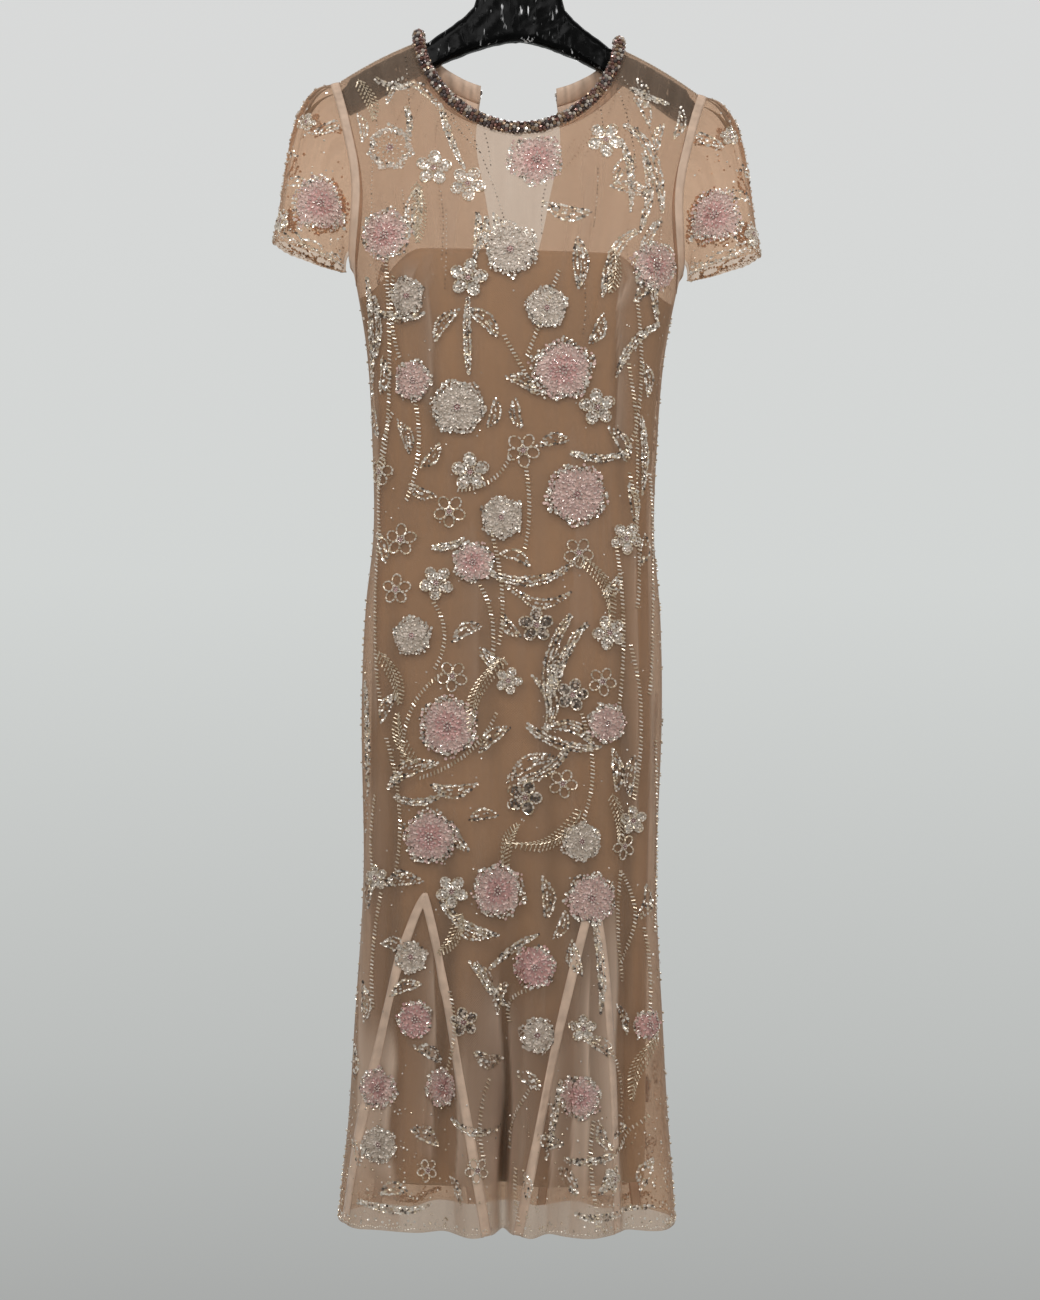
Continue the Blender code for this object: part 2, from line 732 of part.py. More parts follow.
# ---------------------------------------------------------------- sleeves
def armhole_point(step):
    """A point of the armhole seam; steps run up the front, over the shoulder and down the back."""
    step %= ARMHOLE_ROUND
    side = -1 if step <= ARMHOLE_STEPS else 1
    drop = armhole_drop(min(step, ARMHOLE_ROUND - step))
    angle = turned(min(1.0, along(ARMHOLE_ROWS, drop, 1) / section(drop, side)[0]))

    def surface(turn, at):
        return body_point(turn, at, side, ())

    outer, inner = outer_and_inner(surface, angle, drop, 1.0)
    if step % ARMHOLE_STEPS == 0:
        outer.y = inner.y = 0.0
    return outer, (outer - inner).normalized()


def armhole_frame(step):
    """A point of the armhole seam, the way out of the cloth there and the way on past its edge."""
    low = math.floor(step)
    frames = []
    for knot in (low, low + 1):
        point, normal = armhole_point(knot)
        run = armhole_point(knot + 1)[0] - armhole_point(knot - 1)[0]
        frames.append((point, normal, run.cross(normal).normalized()))
    return [one.lerp(other, step - low) for one, other in zip(*frames)]


def sleeve_surface(step, share):
    """A point of the viewer's right sleeve: share runs from the armhole tape to the hem."""
    seam, _, onward = armhole_frame(step)
    part = (step - SLEEVE_START) / (ARMHOLE_ROUND - 2 * SLEEVE_START)
    turn = mix(SLEEVE_END_TURN, 2 * math.pi - SLEEVE_END_TURN, part)
    up = (1 - math.cos(2 * math.pi * step / ARMHOLE_ROUND)) / 2  # 0 underneath, 1 on top
    front = -math.sin(turn)
    end = Vector(
        (
            SLEEVE_HEM_CENTRE - SLEEVE_HEM_HALF * math.cos(turn),
            front * SLEEVE_HEM_DEPTH,
            -(SLEEVE_HEM_DROP + SLEEVE_HEM_SLANT * math.cos(turn)),
        )
    )
    start = seam + onward * (ARMHOLE_TAPE + 2 * ARMHOLE_GAP)
    leave = (onward + Vector((0.6, 0.3 * front, 0.0))).normalized()
    arrive = Vector((0.22, 0.12 * front, -1.0)).normalized()
    length = (end - start).length
    first = start + leave * length * mix(0.30, 0.26, up)
    second = end - arrive * length * mix(0.05, 0.42, up)
    rest = 1 - share
    point = (
        start * rest**3
        + first * 3 * rest * rest * share
        + second * 3 * rest * share * share
        + end * share**3
    )
    top = max(0.0, 1 - abs(step - ARMHOLE_STEPS) / 3.5)
    rise = ease(share / 0.4) * (1 - 0.85 * ease((share - 0.4) / 0.6))
    wave = math.cos(2 * math.pi * step)
    out = Vector((0.35, front, 0.9 * up)).normalized()
    return point + out * SLEEVE_GATHER * top**0.7 * rise * wave


def sleeve_pair(step, share, thickness):
    delta = 0.02
    here = sleeve_surface(step, share)
    over = sleeve_surface(step + delta, share) - sleeve_surface(step - delta, share)
    under = sleeve_surface(step, share + delta / 2) - sleeve_surface(step, share - delta / 2)
    normal = over.cross(under).normalized()
    return here, here - normal * thickness


def sleeve_steps():
    """The columns of a sleeve: four to each step of the gathered head and two elsewhere."""
    steps = [SLEEVE_START]
    while steps[-1] < ARMHOLE_ROUND - SLEEVE_START:
        parts = 4 if abs(steps[-1] + 0.2 - ARMHOLE_STEPS) < 3 else 2
        ahead = math.floor(steps[-1] * parts + 1.01) / parts
        steps.append(min(ARMHOLE_ROUND - SLEEVE_START, ahead))
    return steps


def sleeve(name, mirrored):
    rows = []
    for row in range(SLEEVE_ROWS + 1):
        share = (row / SLEEVE_ROWS) ** 1.15
        rows.append([sleeve_pair(step, share, NET_WALL) for step in sleeve_steps()])
    return cloth(name, [rows], "net", mirrored)


def armhole_tape(name, mirrored):
    """A tape all round the armhole seam, going on from the panels' edges."""
    rows = []
    for reach in (ARMHOLE_GAP, ARMHOLE_GAP + ARMHOLE_TAPE):
        points = []
        for step in range(ARMHOLE_ROUND + 1):
            seam, normal, onward = armhole_frame(step)
            outer = seam + onward * reach
            points.append((outer, outer - normal * TAPE_WALL))
        rows.append(points)
    return cloth(name, [rows], "tape", mirrored)


# ---------------------------------------------------------------- rope round the neck
def rope_centre(turn, side, sign):
    bottom = ROPE_FRONT_DROP if side < 0 else ROPE_BACK_DROP
    x, drop = rope_point(turn, bottom)
    depth = section(drop, side)[1]
    curve = (1 - (x / section(drop, side)[0]) ** SQUARENESS) ** (1 / SQUARENESS)
    return Vector((sign * x, side * depth * curve * ridge_roll(drop - ROPE_TOP_DROP), -drop))


def evenly(points, spacing):
    """The points of a smooth line again, evenly spaced."""
    lengths = [0.0]
    for before, after in zip(points, points[1:]):
        lengths.append(lengths[-1] + (after - before).length)
    count = round(lengths[-1] / spacing)
    even = []
    at = 0
    for step in range(count + 1):
        goal = lengths[-1] * step / count
        while at < len(points) - 2 and lengths[at + 1] < goal:
            at += 1
        part = (goal - lengths[at]) / (lengths[at + 1] - lengths[at])
        even.append(points[at].lerp(points[at + 1], max(0.0, min(1.0, part))))
    return even


def rope_line(spacing):
    """The rope's centre line, from one side of the back opening round the front to the other."""
    back, front = back_neck_turn() - 0.02, math.pi / 2
    parts = 120
    line = [rope_centre(back * (1 - (part / parts) ** 1.6), 1, -1) for part in range(parts)]
    line += [rope_centre(front * (part / parts) ** 1.6, -1, -1) for part in range(parts)]
    line += [rope_centre(front * (1 - part / parts) ** 1.6, -1, 1) for part in range(parts)]
    line += [rope_centre(back * (part / parts) ** 1.6, 1, 1) for part in range(parts + 1)]
    return evenly(line, spacing)


def neck_rope():
    """A rope of beads: every other point of a ring stands out, and the next ring's the other way."""
    line = rope_line(ROPE_PITCH)
    rings = []
    last = len(line) - 1
    for index, centre in enumerate(line):
        tangent = (line[min(last, index + 1)] - line[max(0, index - 1)]).normalized()
        side = tangent.cross(Vector((0, 0, 1)))
        if side.length < 0.2:
            side = tangent.cross(Vector((0, 1, 0)))
        side.normalize()
        over = side.cross(tangent)
        blunt = 0.72 if index in (0, last) else 1.0
        ring = []
        for turn in range(ROPE_SIDES):
            bead = ROPE_BEAD if (turn + index) % 2 else -ROPE_BEAD
            angle = 2 * math.pi * turn / ROPE_SIDES
            out = side * math.cos(angle) + over * math.sin(angle)
            ring.append(centre + out * (ROPE_RADIUS + bead) * blunt)
        rings.append(ring)
    return tube("neck_rope", rings, "beads")


# ---------------------------------------------------------------- hanger and hook
def hanger_half():
    """Half the hanger's outline in front view, from the boss round the hook to under the middle."""
    points = list(HANGER_SHOULDERS)
    for step in range(1, HANGER_ARM_PARTS + 1):
        x = mix(HANGER_SHOULDERS[-1][0], HANGER_ARM_END, step / HANGER_ARM_PARTS)
        points.append((x, ridge_drop(x) + HANGER_CLEARANCE))
    centre_x = HANGER_TIP - HANGER_TIP_RADIUS
    for degrees in HANGER_TIP_DEGREES:
        angle = math.radians(degrees)
        points.append(
            (
                centre_x + HANGER_TIP_RADIUS * math.cos(angle),
                HANGER_TIP_DROP + HANGER_TIP_RADIUS * math.sin(angle),
            )
        )
    for step in range(HANGER_ARCH_PARTS):
        x = mix(HANGER_ARCH_END, 0.0, step / HANGER_ARCH_PARTS)
        points.append((x, HANGER_ARCH_DROP + HANGER_ARCH * x**1.5))
    return points


def hanger():
    half = hanger_half()
    middle = (0.0, HANGER_ARCH_DROP)
    outline = [*half, middle, *((-x, drop) for x, drop in reversed(half))]
    count = len(outline)
    flat = [Vector((x, 0.0, -drop)) for x, drop in outline]
    normals = []
    for index in range(count):
        run = flat[(index + 1) % count] - flat[index - 1]
        normals.append(Vector((-run.z, 0.0, run.x)).normalized())
    rings = []
    for degrees in HANGER_EDGE_DEGREES:
        angle = math.radians(degrees)
        inset = HANGER_EDGE * (1 - math.cos(angle))
        level = math.copysign(HANGER_HALF_THICKNESS - HANGER_EDGE, angle)
        raised = Vector((0, level + HANGER_EDGE * math.sin(angle), 0))
        rings.append([point - normal * inset + raised for point, normal in zip(flat, normals)])
    return tube("hanger", rings, "hanger")


def hook_line():
    """Centre line of the hook: up the stem, out, and round over the rail."""
    centre = Vector((0.0, 0.0, -(HOOK_RADIUS - HOOK_WIRE)))
    start = Vector((0.0, 0.0, -HOOK_STEM_DROP))
    angle = math.radians(HOOK_FIRST_DEGREES)
    join = centre + HOOK_RADIUS * Vector((math.cos(angle), 0.0, math.sin(angle)))
    heading = Vector((-math.sin(angle), 0.0, math.cos(angle)))
    line = [Vector((0.0, 0.0, -(HANGER_SHOULDERS[0][1] - SEAM_GAP)))]
    first, second = start + Vector((0, 0, HOOK_BEND)), join - heading * HOOK_BEND
    for step in range(HOOK_BEND_PARTS):
        share, rest = step / HOOK_BEND_PARTS, 1 - step / HOOK_BEND_PARTS
        line.append(
            start * rest**3
            + first * 3 * rest**2 * share
            + second * 3 * rest * share**2
            + join * share**3
        )
    for degrees in range(HOOK_FIRST_DEGREES, HOOK_LAST_DEGREES, HOOK_STEP_DEGREES):
        angle = math.radians(degrees)
        line.append(centre + HOOK_RADIUS * Vector((math.cos(angle), 0.0, math.sin(angle))))
    return line


def hook():
    line = hook_line()
    last = len(line) - 1
    rings = []
    for index, centre in enumerate(line):
        tangent = (line[min(last, index + 1)] - line[max(0, index - 1)]).normalized()
        side = Vector((0, 1, 0))
        over = side.cross(tangent).normalized()
        radius = HOOK_WIRE * (0.6 if index == last else 1.0)
        rings.append(
            [
                centre + (side * math.cos(turn) + over * math.sin(turn)) * radius
                for turn in (math.tau * part / HOOK_SIDES for part in range(HOOK_SIDES))
            ]
        )
    return tube("hook", rings, "hook")


def build():
    for old in list(bpy.data.objects):
        bpy.data.objects.remove(old)
    hook()
    hanger()
    front_panel()
    back_panel("back_panel_left", -1, BACK_GODETS[0])
    back_panel("back_panel_right", 1, BACK_GODETS[1])
    for godet in FRONT_GODETS:
        godet_wedge(godet, -1, FRONT_FOLDS, 8)
        godet_tape(godet, -1, FRONT_FOLDS)
    for godet in BACK_GODETS:
        godet_wedge(godet, 1, BACK_FOLDS, 8)
        godet_tape(godet, 1, BACK_FOLDS)
    lining_panel("lining_front", -1, LINING_FRONT_FOLDS, 20, 13)
    lining_panel("lining_back", 1, LINING_BACK_FOLDS, 18, 12)
    for name, mirrored in (("right", False), ("left", True)):
        sleeve("sleeve_" + name, mirrored)
        armhole_tape("armhole_tape_" + name, mirrored)
    neck_rope()
    neck_facing("neck_facing_left", -1)
    neck_facing("neck_facing_right", 1)


build()
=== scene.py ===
"""The looks of a sheer sequin midi dress over a plain slip, on a broad-shouldered hanger.

Lengths are in millimetres and become metres where a mesh is finished. A "drop" is a distance below
the rail, so a point's height is minus its drop. The front faces -Y and +X is the viewer's right. A
"turn" is the angle round the body: 0 at centre front, a right angle at a side seam, pi behind.
"""

import functools
import math
import random

import bmesh
import bpy
import numpy as np
from bpy.props import FloatProperty, FloatVectorProperty, IntProperty, PointerProperty
from mathutils import Matrix, Vector, noise


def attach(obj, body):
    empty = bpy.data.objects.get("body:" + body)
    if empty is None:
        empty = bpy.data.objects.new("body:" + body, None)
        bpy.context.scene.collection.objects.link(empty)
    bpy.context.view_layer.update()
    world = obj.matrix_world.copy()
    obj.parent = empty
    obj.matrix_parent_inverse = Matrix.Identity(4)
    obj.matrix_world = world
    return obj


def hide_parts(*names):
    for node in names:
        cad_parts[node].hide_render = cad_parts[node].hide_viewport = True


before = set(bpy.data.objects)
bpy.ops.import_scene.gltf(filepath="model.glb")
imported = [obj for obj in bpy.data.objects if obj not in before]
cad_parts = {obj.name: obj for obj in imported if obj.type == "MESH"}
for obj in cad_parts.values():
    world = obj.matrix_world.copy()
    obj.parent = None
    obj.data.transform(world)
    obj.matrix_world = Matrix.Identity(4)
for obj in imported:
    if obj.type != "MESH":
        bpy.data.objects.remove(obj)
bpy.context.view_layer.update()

bl_info = {
    "name": "Sequin midi dress",
    "version": (1, 0, 0),
    "blender": (4, 5, 0),
    "location": "View3D > Sidebar > Dress",
    "description": "Dresses the plain solids of a sheer sequin dress in net, slip, sequins and beads",
    "category": "Object",
}

MM = 0.001
BODY = "root"

# ---------------------------------------------------------------- sizes taken over from the solids
HEM_DROP = 1408.0
LINING_HEM_DROP = 1364.0
WAIST_DROP = 640.0
UNDERARM_DROP = 424.0
SQUARENESS = 2.4
LEAN = math.tan(math.radians(1.3))
LEAN_FULL_DROP = 260.0
LEAN_NONE_DROP = 620.0

NECK_HALF_WIDTH = 106.0
RIDGE_DROP = 165.4
RIDGE_SLOPE = 0.40
RIDGE_CURVE = 0.0017
RIDGE_ROLL = 18.0
SHOULDER_TIP = 190.8

ROPE_RADIUS = 6.6
ROPE_REACH = 7.3
ROPE_GAP = 1.5
ROPE_TOP_DROP = 159.0
ROPE_FRONT_DROP = 258.6
ROPE_BACK_DROP = 222.0
ROPE_ROUNDNESS = 1.85
BACK_NECK_EDGE = 40.0

OPENING_ROWS = (  # drop, half width of the centre back opening
    (150, 34), (214, 40), (264, 45), (318, 35), (372, 24), (416, 9), (440, 0.0),
)
BODY_ROWS = (  # drop, half width, front depth, back depth
    (150, 246, 19.5, 19.5), (222, 224, 20.5, 20), (265, 210, 27, 24), (329, 193, 38, 32),
    (381, 180, 47, 38), (424, 169.6, 52, 42), (498, 157, 50, 40), (594, 150.5, 44, 36),
    (684, 148.5, 42, 38), (764, 156, 47, 46), (875, 159, 52, 52), (1049, 155, 55, 52),
    (1208, 161, 62, 58), (1293, 165.5, 66, 62), (1370, 174, 71, 66), (1408, 177.5, 74, 68),
)
ARMHOLE_ROWS = (  # drop, half width of the bodice at the armhole seam
    (211.54, 190.8), (240.6, 182), (271, 174.5), (299, 168.5), (326.5, 166), (354, 167), (376, 168.8),
    (400, 170.6), (424, 169.6),
)

# A fold: x where it starts and at the hem, half width where it starts and at the hem, height (below
# zero inwards), the drop where it starts and the drop where it is full.
FRONT_FOLDS = (
    (-150, -152, 15, 13, 7, 1010, 1400), (-84, -68, 16, 15, -15, 1000, 1400),
    (-60, -33, 20, 14, 14, 1020, 1400), (-2, -3.5, 26, 7.5, -32, 930, 1380),
    (34, 25, 14, 9, 12, 1050, 1400), (60, 46, 12, 10, -9, 1080, 1400), (88, 84, 25, 22, 15, 1000, 1400),
    (122, 131, 13, 13, -14, 640, 1400), (150, 160, 15, 13, 7, 1010, 1400),
)
BACK_FOLDS = (
    (-135, -140, 16, 14, 8, 960, 1400), (-104, -106, 16, 14, -14, 900, 1400),
    (-78, -72, 18, 15, 13, 980, 1400), (-42, -36, 16, 12, -13, 960, 1400),
    (0.0, 0.0, 20, 18, 12, 900, 1400), (40, 35, 16, 12, -14, 980, 1400),
    (76, 71, 18, 15, 14, 960, 1400), (104, 108, 15, 14, -12, 920, 1400),
    (137, 142, 16, 14, 8, 980, 1400),
)
LINING_FRONT_FOLDS = (
    (-95, -98, 24, 24, 4, 820, 1360), (-45, -45, 20, 20, 3, 900, 1360),
    (-2, -3.5, 26, 14, -24, 900, 1350), (55, 52, 20, 20, 3, 900, 1360),
    (118, 121, 14, 14, -6, 640, 1360),
)
LINING_BACK_FOLDS = (
    (-70, -74, 26, 26, 5, 800, 1360), (-20, -22, 20, 20, -7, 820, 1360), (32, 34, 22, 22, 5, 840, 1360),
    (92, 90, 20, 20, -6, 820, 1360),
)
LINING_EASE = (  # drop, how far the slip lies inside the net: at the side, in front, behind
    (380, 0.5, 3, 3), (436, 0.5, 3, 3), (467, 0.6, 3, 3), (498, 2.4, 3.2, 3.2), (594, 3.2, 3.2, 3.2),
    (684, 4, 4, 4), (764, 8, 5, 5), (875, 9, 6, 6), (1049, 6, 8, 7.5), (1208, 14, 16, 14),
    (1293, 18, 20, 17), (1370, 27, 24, 20),
)
LINING_TOP_DROP = 389.6
LINING_TOP_HALF = 98.0
LINING_SIDE_DROP = 438.0
LINING_BACK_TOP_DROP = 404.0
LINING_INSIDE = 1.2

GODET_DROP = 1058.0
TAPE_WIDTH = 8.0
GODETS = {  # name: side, x of the point, x of its left and right seams at the hem, their bends
    "front_left": (-1, -87, -171, -15, 0.65, 0.85),
    "front_right": (-1, 84, 8, 120, 0.85, 0.45),
    "back_left": (1, -84, -142, -34, 0.65, 0.85),
    "back_right": (1, 84, 34, 142, 0.85, 0.65),
}

SLEEVE_HEM_CENTRE = 219.0
SLEEVE_HEM_HALF = 40.0
SLEEVE_HEM_DEPTH = 46.0
SLEEVE_HEM_DROP = 395.0
SLEEVE_HEM_SLANT = 13.0
SLEEVE_START = 0.55
SLEEVE_END_TURN = 0.35
SLEEVE_GATHER = 3.0
ARMHOLE_STEPS = 8
ARMHOLE_ROUND = 16
ARMHOLE_GAP = 1.0
ARMHOLE_TAPE = 6.0
COLUMN_SPREAD = 0.6

# ---------------------------------------------------------------- smaller creases, laid out one by one
# A crease: x and drop at its top, x and drop at its foot, half width, height (below zero inwards).
FRONT_CREASES = (
    (-119, 372, -112, 560, 4.5, 3), (-86, 400, -88, 640, 9, 1.2), (100, 385, 104, 590, 4.5, 3),
    (122, 430, 132, 1010, 5.5, 5), (140, 500, 146, 1100, 4.5, 4), (-136, 540, -140, 1060, 5, 3.6),
    (-40, 640, -30, 900, 14, 1.4), (38, 560, 48, 860, 12, 1.2), (70, 760, 60, 1120, 8, 2.2),
    (-108, 840, -126, 1400, 6, 4), (-62, 1060, -98, 1402, 5, 4.5), (-30, 960, -50, 1300, 7, 2.6),
    (22, 1080, 8, 1396, 4.5, 3.8), (98, 1090, 108, 1404, 5.5, 4.6), (72, 1120, 64, 1404, 5, 4),
    (138, 1130, 146, 1404, 6, 3.2), (-150, 300, -96, 356, 7, 1.2), (150, 296, 104, 362, 6, 1.3),
)
BACK_CREASES = (
    (-110, 400, -104, 660, 7, 1.6), (96, 420, 102, 720, 8, 1.8), (-58, 470, -50, 900, 9, 1.6),
    (124, 620, 130, 1080, 6, 2.6), (-128, 700, -134, 1200, 6, 2.4), (26, 720, 20, 1090, 10, 1.8),
    (-88, 1080, -92, 1404, 5.5, 4.2), (-18, 1040, -20, 1400, 6, 3.4), (56, 1090, 54, 1404, 5, 4.2),
    (118, 1100, 124, 1404, 6, 3.6),
)
LINING_FRONT_CREASES = (
    (-86, 430, -84, 640, 7, -2.2), (108, 420, 112, 690, 7, -2.4), (116, 640, 122, 1240, 8, -3),
    (-122, 690, -126, 1300, 9, -3), (-24, 620, -18, 1000, 12, -2), (46, 700, 40, 1180, 10, -2.6),
    (-64, 960, -70, 1364, 8, -4), (78, 980, 84, 1364, 9, -4.4), (-152, 442, -96, 458, 6, -1.2),
    (150, 440, 96, 456, 6, -1.2),
)
LINING_BACK_CREASES = (
    (-96, 470, -92, 800, 8, -2), (84, 480, 92, 860, 8, -2.2), (-40, 760, -44, 1340, 9, -3.6),
    (60, 820, 62, 1350, 9, -3.6), (118, 800, 122, 1340, 8, -3),
)

# ---------------------------------------------------------------- embroidery, laid out one by one
# A flower: kind, x, drop, radius.
FRONT_FLOWERS = (
    ("ring", -134, 284, 23), ("petals", -88, 305, 19), ("petals", -52, 321, 19),
    ("petals", 92, 268, 19), ("rose", 20, 292, 28), ("rose", -138, 376, 27), ("white", -7, 390, 28),
    ("white", -114, 440, 19), ("petals", -50, 421, 20), ("white", 32, 450, 21), ("rose", 50, 514, 32),
    ("blush", -107, 526, 20), ("white", -60, 554, 28), ("petals", 86, 552, 19), ("outline", 9, 598, 18),
    ("petals", -46, 621, 20), ("outline", -67, 662, 17), ("white", -13, 668, 22),
    ("blush", 66, 643, 32), ("outline", -118, 692, 17), ("outline", -122, 744, 16),
    ("rose", -42, 715, 21), ("petals", -80, 737, 18), ("outline", 68, 704, 16),
    ("white", -105, 792, 20), ("dark", 25, 780, 18), ("petals", 101, 787, 18),
    ("outline", -62, 834, 16), ("outline", 94, 838, 15), ("dark", 63, 852, 17), ("rose", -66, 886, 31),
    ("blush", 100, 881, 20), ("dark", 15, 959, 18), ("outline", 54, 944, 15), ("rose", -84, 1001, 28),
    ("white", 74, 1004, 20), ("petals", 130, 983, 15), ("rose", -13, 1056, 28), ("blush", 85, 1063, 26),
    ("petals", -60, 1057, 17), ("white", -102, 1126, 16), ("mauve", 27, 1134, 22),
    ("mauve", -97, 1190, 19), ("dark", -45, 1190, 15), ("white", 30, 1203, 18),
    ("rose", -134, 1263, 21), ("rose", -68, 1260, 20), ("rose", 73, 1266, 22),
    ("white", -132, 1321, 19), ("outline", -84, 1345, 12), ("petals", 76, 1196, 14),
    ("mauve", 146, 1196, 15), ("rose", 146, 400, 25), ("petals", 118, 688, 17),
    ("outline", 120, 1010, 14), ("petals", -140, 1046, 14), ("outline", -140, 620, 15),
    ("petals", -4, 838, 14), ("petals", 108, 1350, 14), ("outline", -30, 1340, 13),
)
BACK_YOKE_FLOWERS = (
    ("blush", -142, 364, 19), ("white", 150, 388, 17),
)
# A leaf: x, drop, length, width, heading in degrees (0 points down, 90 to the viewer's right), bend.
FRONT_LEAVES = (
    (-104, 352, 52, 17, 178, 4), (64, 402, 54, 15, 2, 3), (118, 322, 40, 13, 76, 4),
    (53, 343, 50, 15, 80, -7), (-22, 366, 28, 9, 10, 3), (132, 408, 64, 16, -16, 10),
    (-36, 466, 42, 13, 48, 5), (-72, 470, 40, 12, -38, -5), (-116, 584, 36, 11, 20, 4),
    (-88, 604, 30, 10, 140, -4), (6, 530, 34, 12, 62, 5), (4, 560, 30, 10, 10, -4),
    (108, 590, 40, 13, 30, 6), (122, 650, 38, 12, 8, 5), (104, 736, 32, 11, -42, 4),
    (30, 742, 64, 9, 84, -16), (-48, 790, 34, 12, 118, 5), (-20, 812, 32, 11, 60, -5),
    (52, 826, 44, 11, 150, 10), (28, 862, 60, 12, 12, 14), (60, 896, 58, 11, 72, 12),
    (24, 930, 54, 12, -62, -10), (108, 930, 44, 12, 6, 4), (128, 936, 42, 12, -8, -4),
    (-104, 938, 62, 15, 116, 8), (-60, 946, 48, 12, 92, -8), (-112, 1050, 44, 14, 96, 6),
    (36, 1062, 42, 12, 4, 5), (-38, 1092, 44, 12, 62, -8), (-120, 1118, 34, 13, 74, 6),
    (-30, 1146, 40, 11, 34, 6), (70, 1124, 36, 12, 16, -4), (92, 1216, 38, 13, 56, 5),
    (-20, 1226, 42, 14, 76, -6), (-8, 1168, 34, 12, 160, 5), (-86, 1312, 38, 14, 64, 5),
    (44, 1310, 34, 13, 72, -4), (118, 1306, 32, 9, 98, 4), (-118, 1368, 30, 12, 98, 4),
    (-52, 1362, 28, 10, 40, 4), (62, 1352, 36, 14, 48, 4), (104, 1356, 30, 12, 120, 4),
    (146, 1350, 34, 12, 158, 4), (20, 1356, 26, 10, 10, 3), (-150, 1176, 40, 12, 8, 4),
    (-146, 1060, 36, 12, 172, 4), (140, 1068, 36, 12, -16, 8), (-100, 224, 36, 9, 52, 4),
    (-130, 222, 30, 8, 150, 4), (130, 236, 32, 9, 30, 5), (112, 300, 36, 10, 146, 5),
    (150, 262, 28, 8, 168, 4), (130, 216, 30, 9, 20, 3), (168, 246, 34, 8, -12, 4),
    (-166, 262, 30, 8, 14, 4), (-140, 520, 38, 11, -6, 5), (-146, 566, 34, 10, 8, -4),
    (136, 520, 36, 10, 12, 5), (84, 470, 34, 12, -24, 4), (-24, 560, 30, 10, -16, 4),
    (40, 590, 32, 11, 100, 4), (-96, 640, 30, 10, 66, -4), (-138, 700, 32, 10, 20, 4),
    (2, 712, 34, 10, 70, 5), (134, 700, 34, 10, -14, 4), (-2, 780, 32, 11, 40, -4),
    (-128, 868, 34, 11, 150, 4), (-18, 900, 40, 12, 130, 5), (-52, 1000, 34, 11, 30, -5),
    (-28, 980, 30, 10, 100, 4), (120, 1190, 38, 11, 30, 5), (-84, 1226, 34, 11, 60, 4),
    (-108, 1160, 34, 11, 110, 4), (52, 1090, 30, 10, -24, 4), (98, 1306, 30, 10, 24, -4),
    (20, 1250, 30, 11, 60, 4), (-158, 1240, 36, 11, 10, 4), (-154, 1330, 30, 10, 30, 4),
)
# A fern: x, drop, length, heading in degrees, bend.
FRONT_FERNS = (
    (86, 742, 78, 24, 12), (-26, 852, 82, -24, -10), (40, 990, 78, 296, 14), (-104, 352, 62, 4, 3),
    (144, 1240, 70, -22, -8), (-128, 836, 56, 24, 6), (100, 408, 44, -4, 3), (-60, 1100, 46, -30, 5),
    (-160, 232, 44, 24, 4), (110, 980, 50, 10, 5), (-110, 900, 52, 200, 6), (0.0, 1010, 46, 160, 5),
)
# A stem of bars laid across a line: x and drop at its start, its bending point and its end.
FRONT_STEMS = (
    (44, 412, 24, 470, 12, 500), (-12, 480, 6, 512, 24, 540), (12, 616, 20, 660, 12, 700),
    (-104, 548, -92, 600, -112, 650), (-128, 420, -134, 470, -120, 502),
    (-136, 400, -124, 560, -142, 640), (-82, 758, -60, 790, -80, 826), (-70, 830, -118, 860, -112, 930),
    (-94, 940, -34, 920, -16, 872), (106, 690, 122, 780, 112, 860), (72, 872, 96, 930, 74, 984),
    (-130, 900, -104, 980, -118, 1040), (116, 1036, 152, 1080, 118, 1130),
    (116, 1036, 108, 1090, 120, 1150), (142, 1096, 150, 1140, 146, 1190), (18, 1158, -6, 1170, 2, 1192),
    (24, 1256, 2, 1290, 4, 1322), (146, 1290, 130, 1310, 116, 1322), (126, 440, 140, 540, 116, 600),
    (118, 506, 132, 600, 124, 690), (-134, 1062, -146, 1130, -140, 1180),
    (-60, 1160, -48, 1200, -62, 1240), (102, 1216, 124, 1250, 120, 1290), (10, 1340, 8, 1370, 14, 1396),
    (120, 620, 134, 700, 128, 760), (-140, 700, -146, 790, -136, 860), (-58, 640, -20, 640, -4, 604),
    (-34, 740, -14, 770, -22, 830), (-128, 560, -146, 600, -138, 690), (124, 800, 140, 870, 130, 960),
    (140, 620, 150, 720, 142, 850), (-140, 960, -150, 1010, -142, 1040),
    (150, 900, 156, 1000, 152, 1100), (-24, 680, -4, 750, -14, 800), (86, 1290, 78, 1330, 92, 1396),
    (-20, 1250, -34, 1290, -24, 1330),
)
# A line of tiny dots: x and drop at its start, its bending point and its end.
FRONT_DOTS = (
    (-106, 190, -96, 226, -72, 262), (-96, 184, -84, 226, -56, 270), (-86, 230, -66, 262, -40, 286),
    (-60, 246, -34, 290, -14, 356), (-36, 262, -30, 280, -28, 300), (0.0, 270, 0.0, 280, 2, 288),
    (84, 300, 84, 330, 80, 362), (-74, 350, -72, 390, -74, 432), (-119, 186, -116, 220, -112, 262),
    (30, 320, 24, 340, 26, 372), (-150, 246, -146, 270, -150, 300), (86, 232, 90, 250, 88, 262),
    (98, 200, 118, 236, 124, 296), (106, 196, 132, 226, 146, 280), (-120, 330, -116, 350, -120, 380),
    (-80, 330, -74, 368, -78, 402), (70, 420, 74, 448, 70, 476), (-152, 300, -154, 340, -150, 380),
    (150, 330, 152, 360, 150, 400),
)
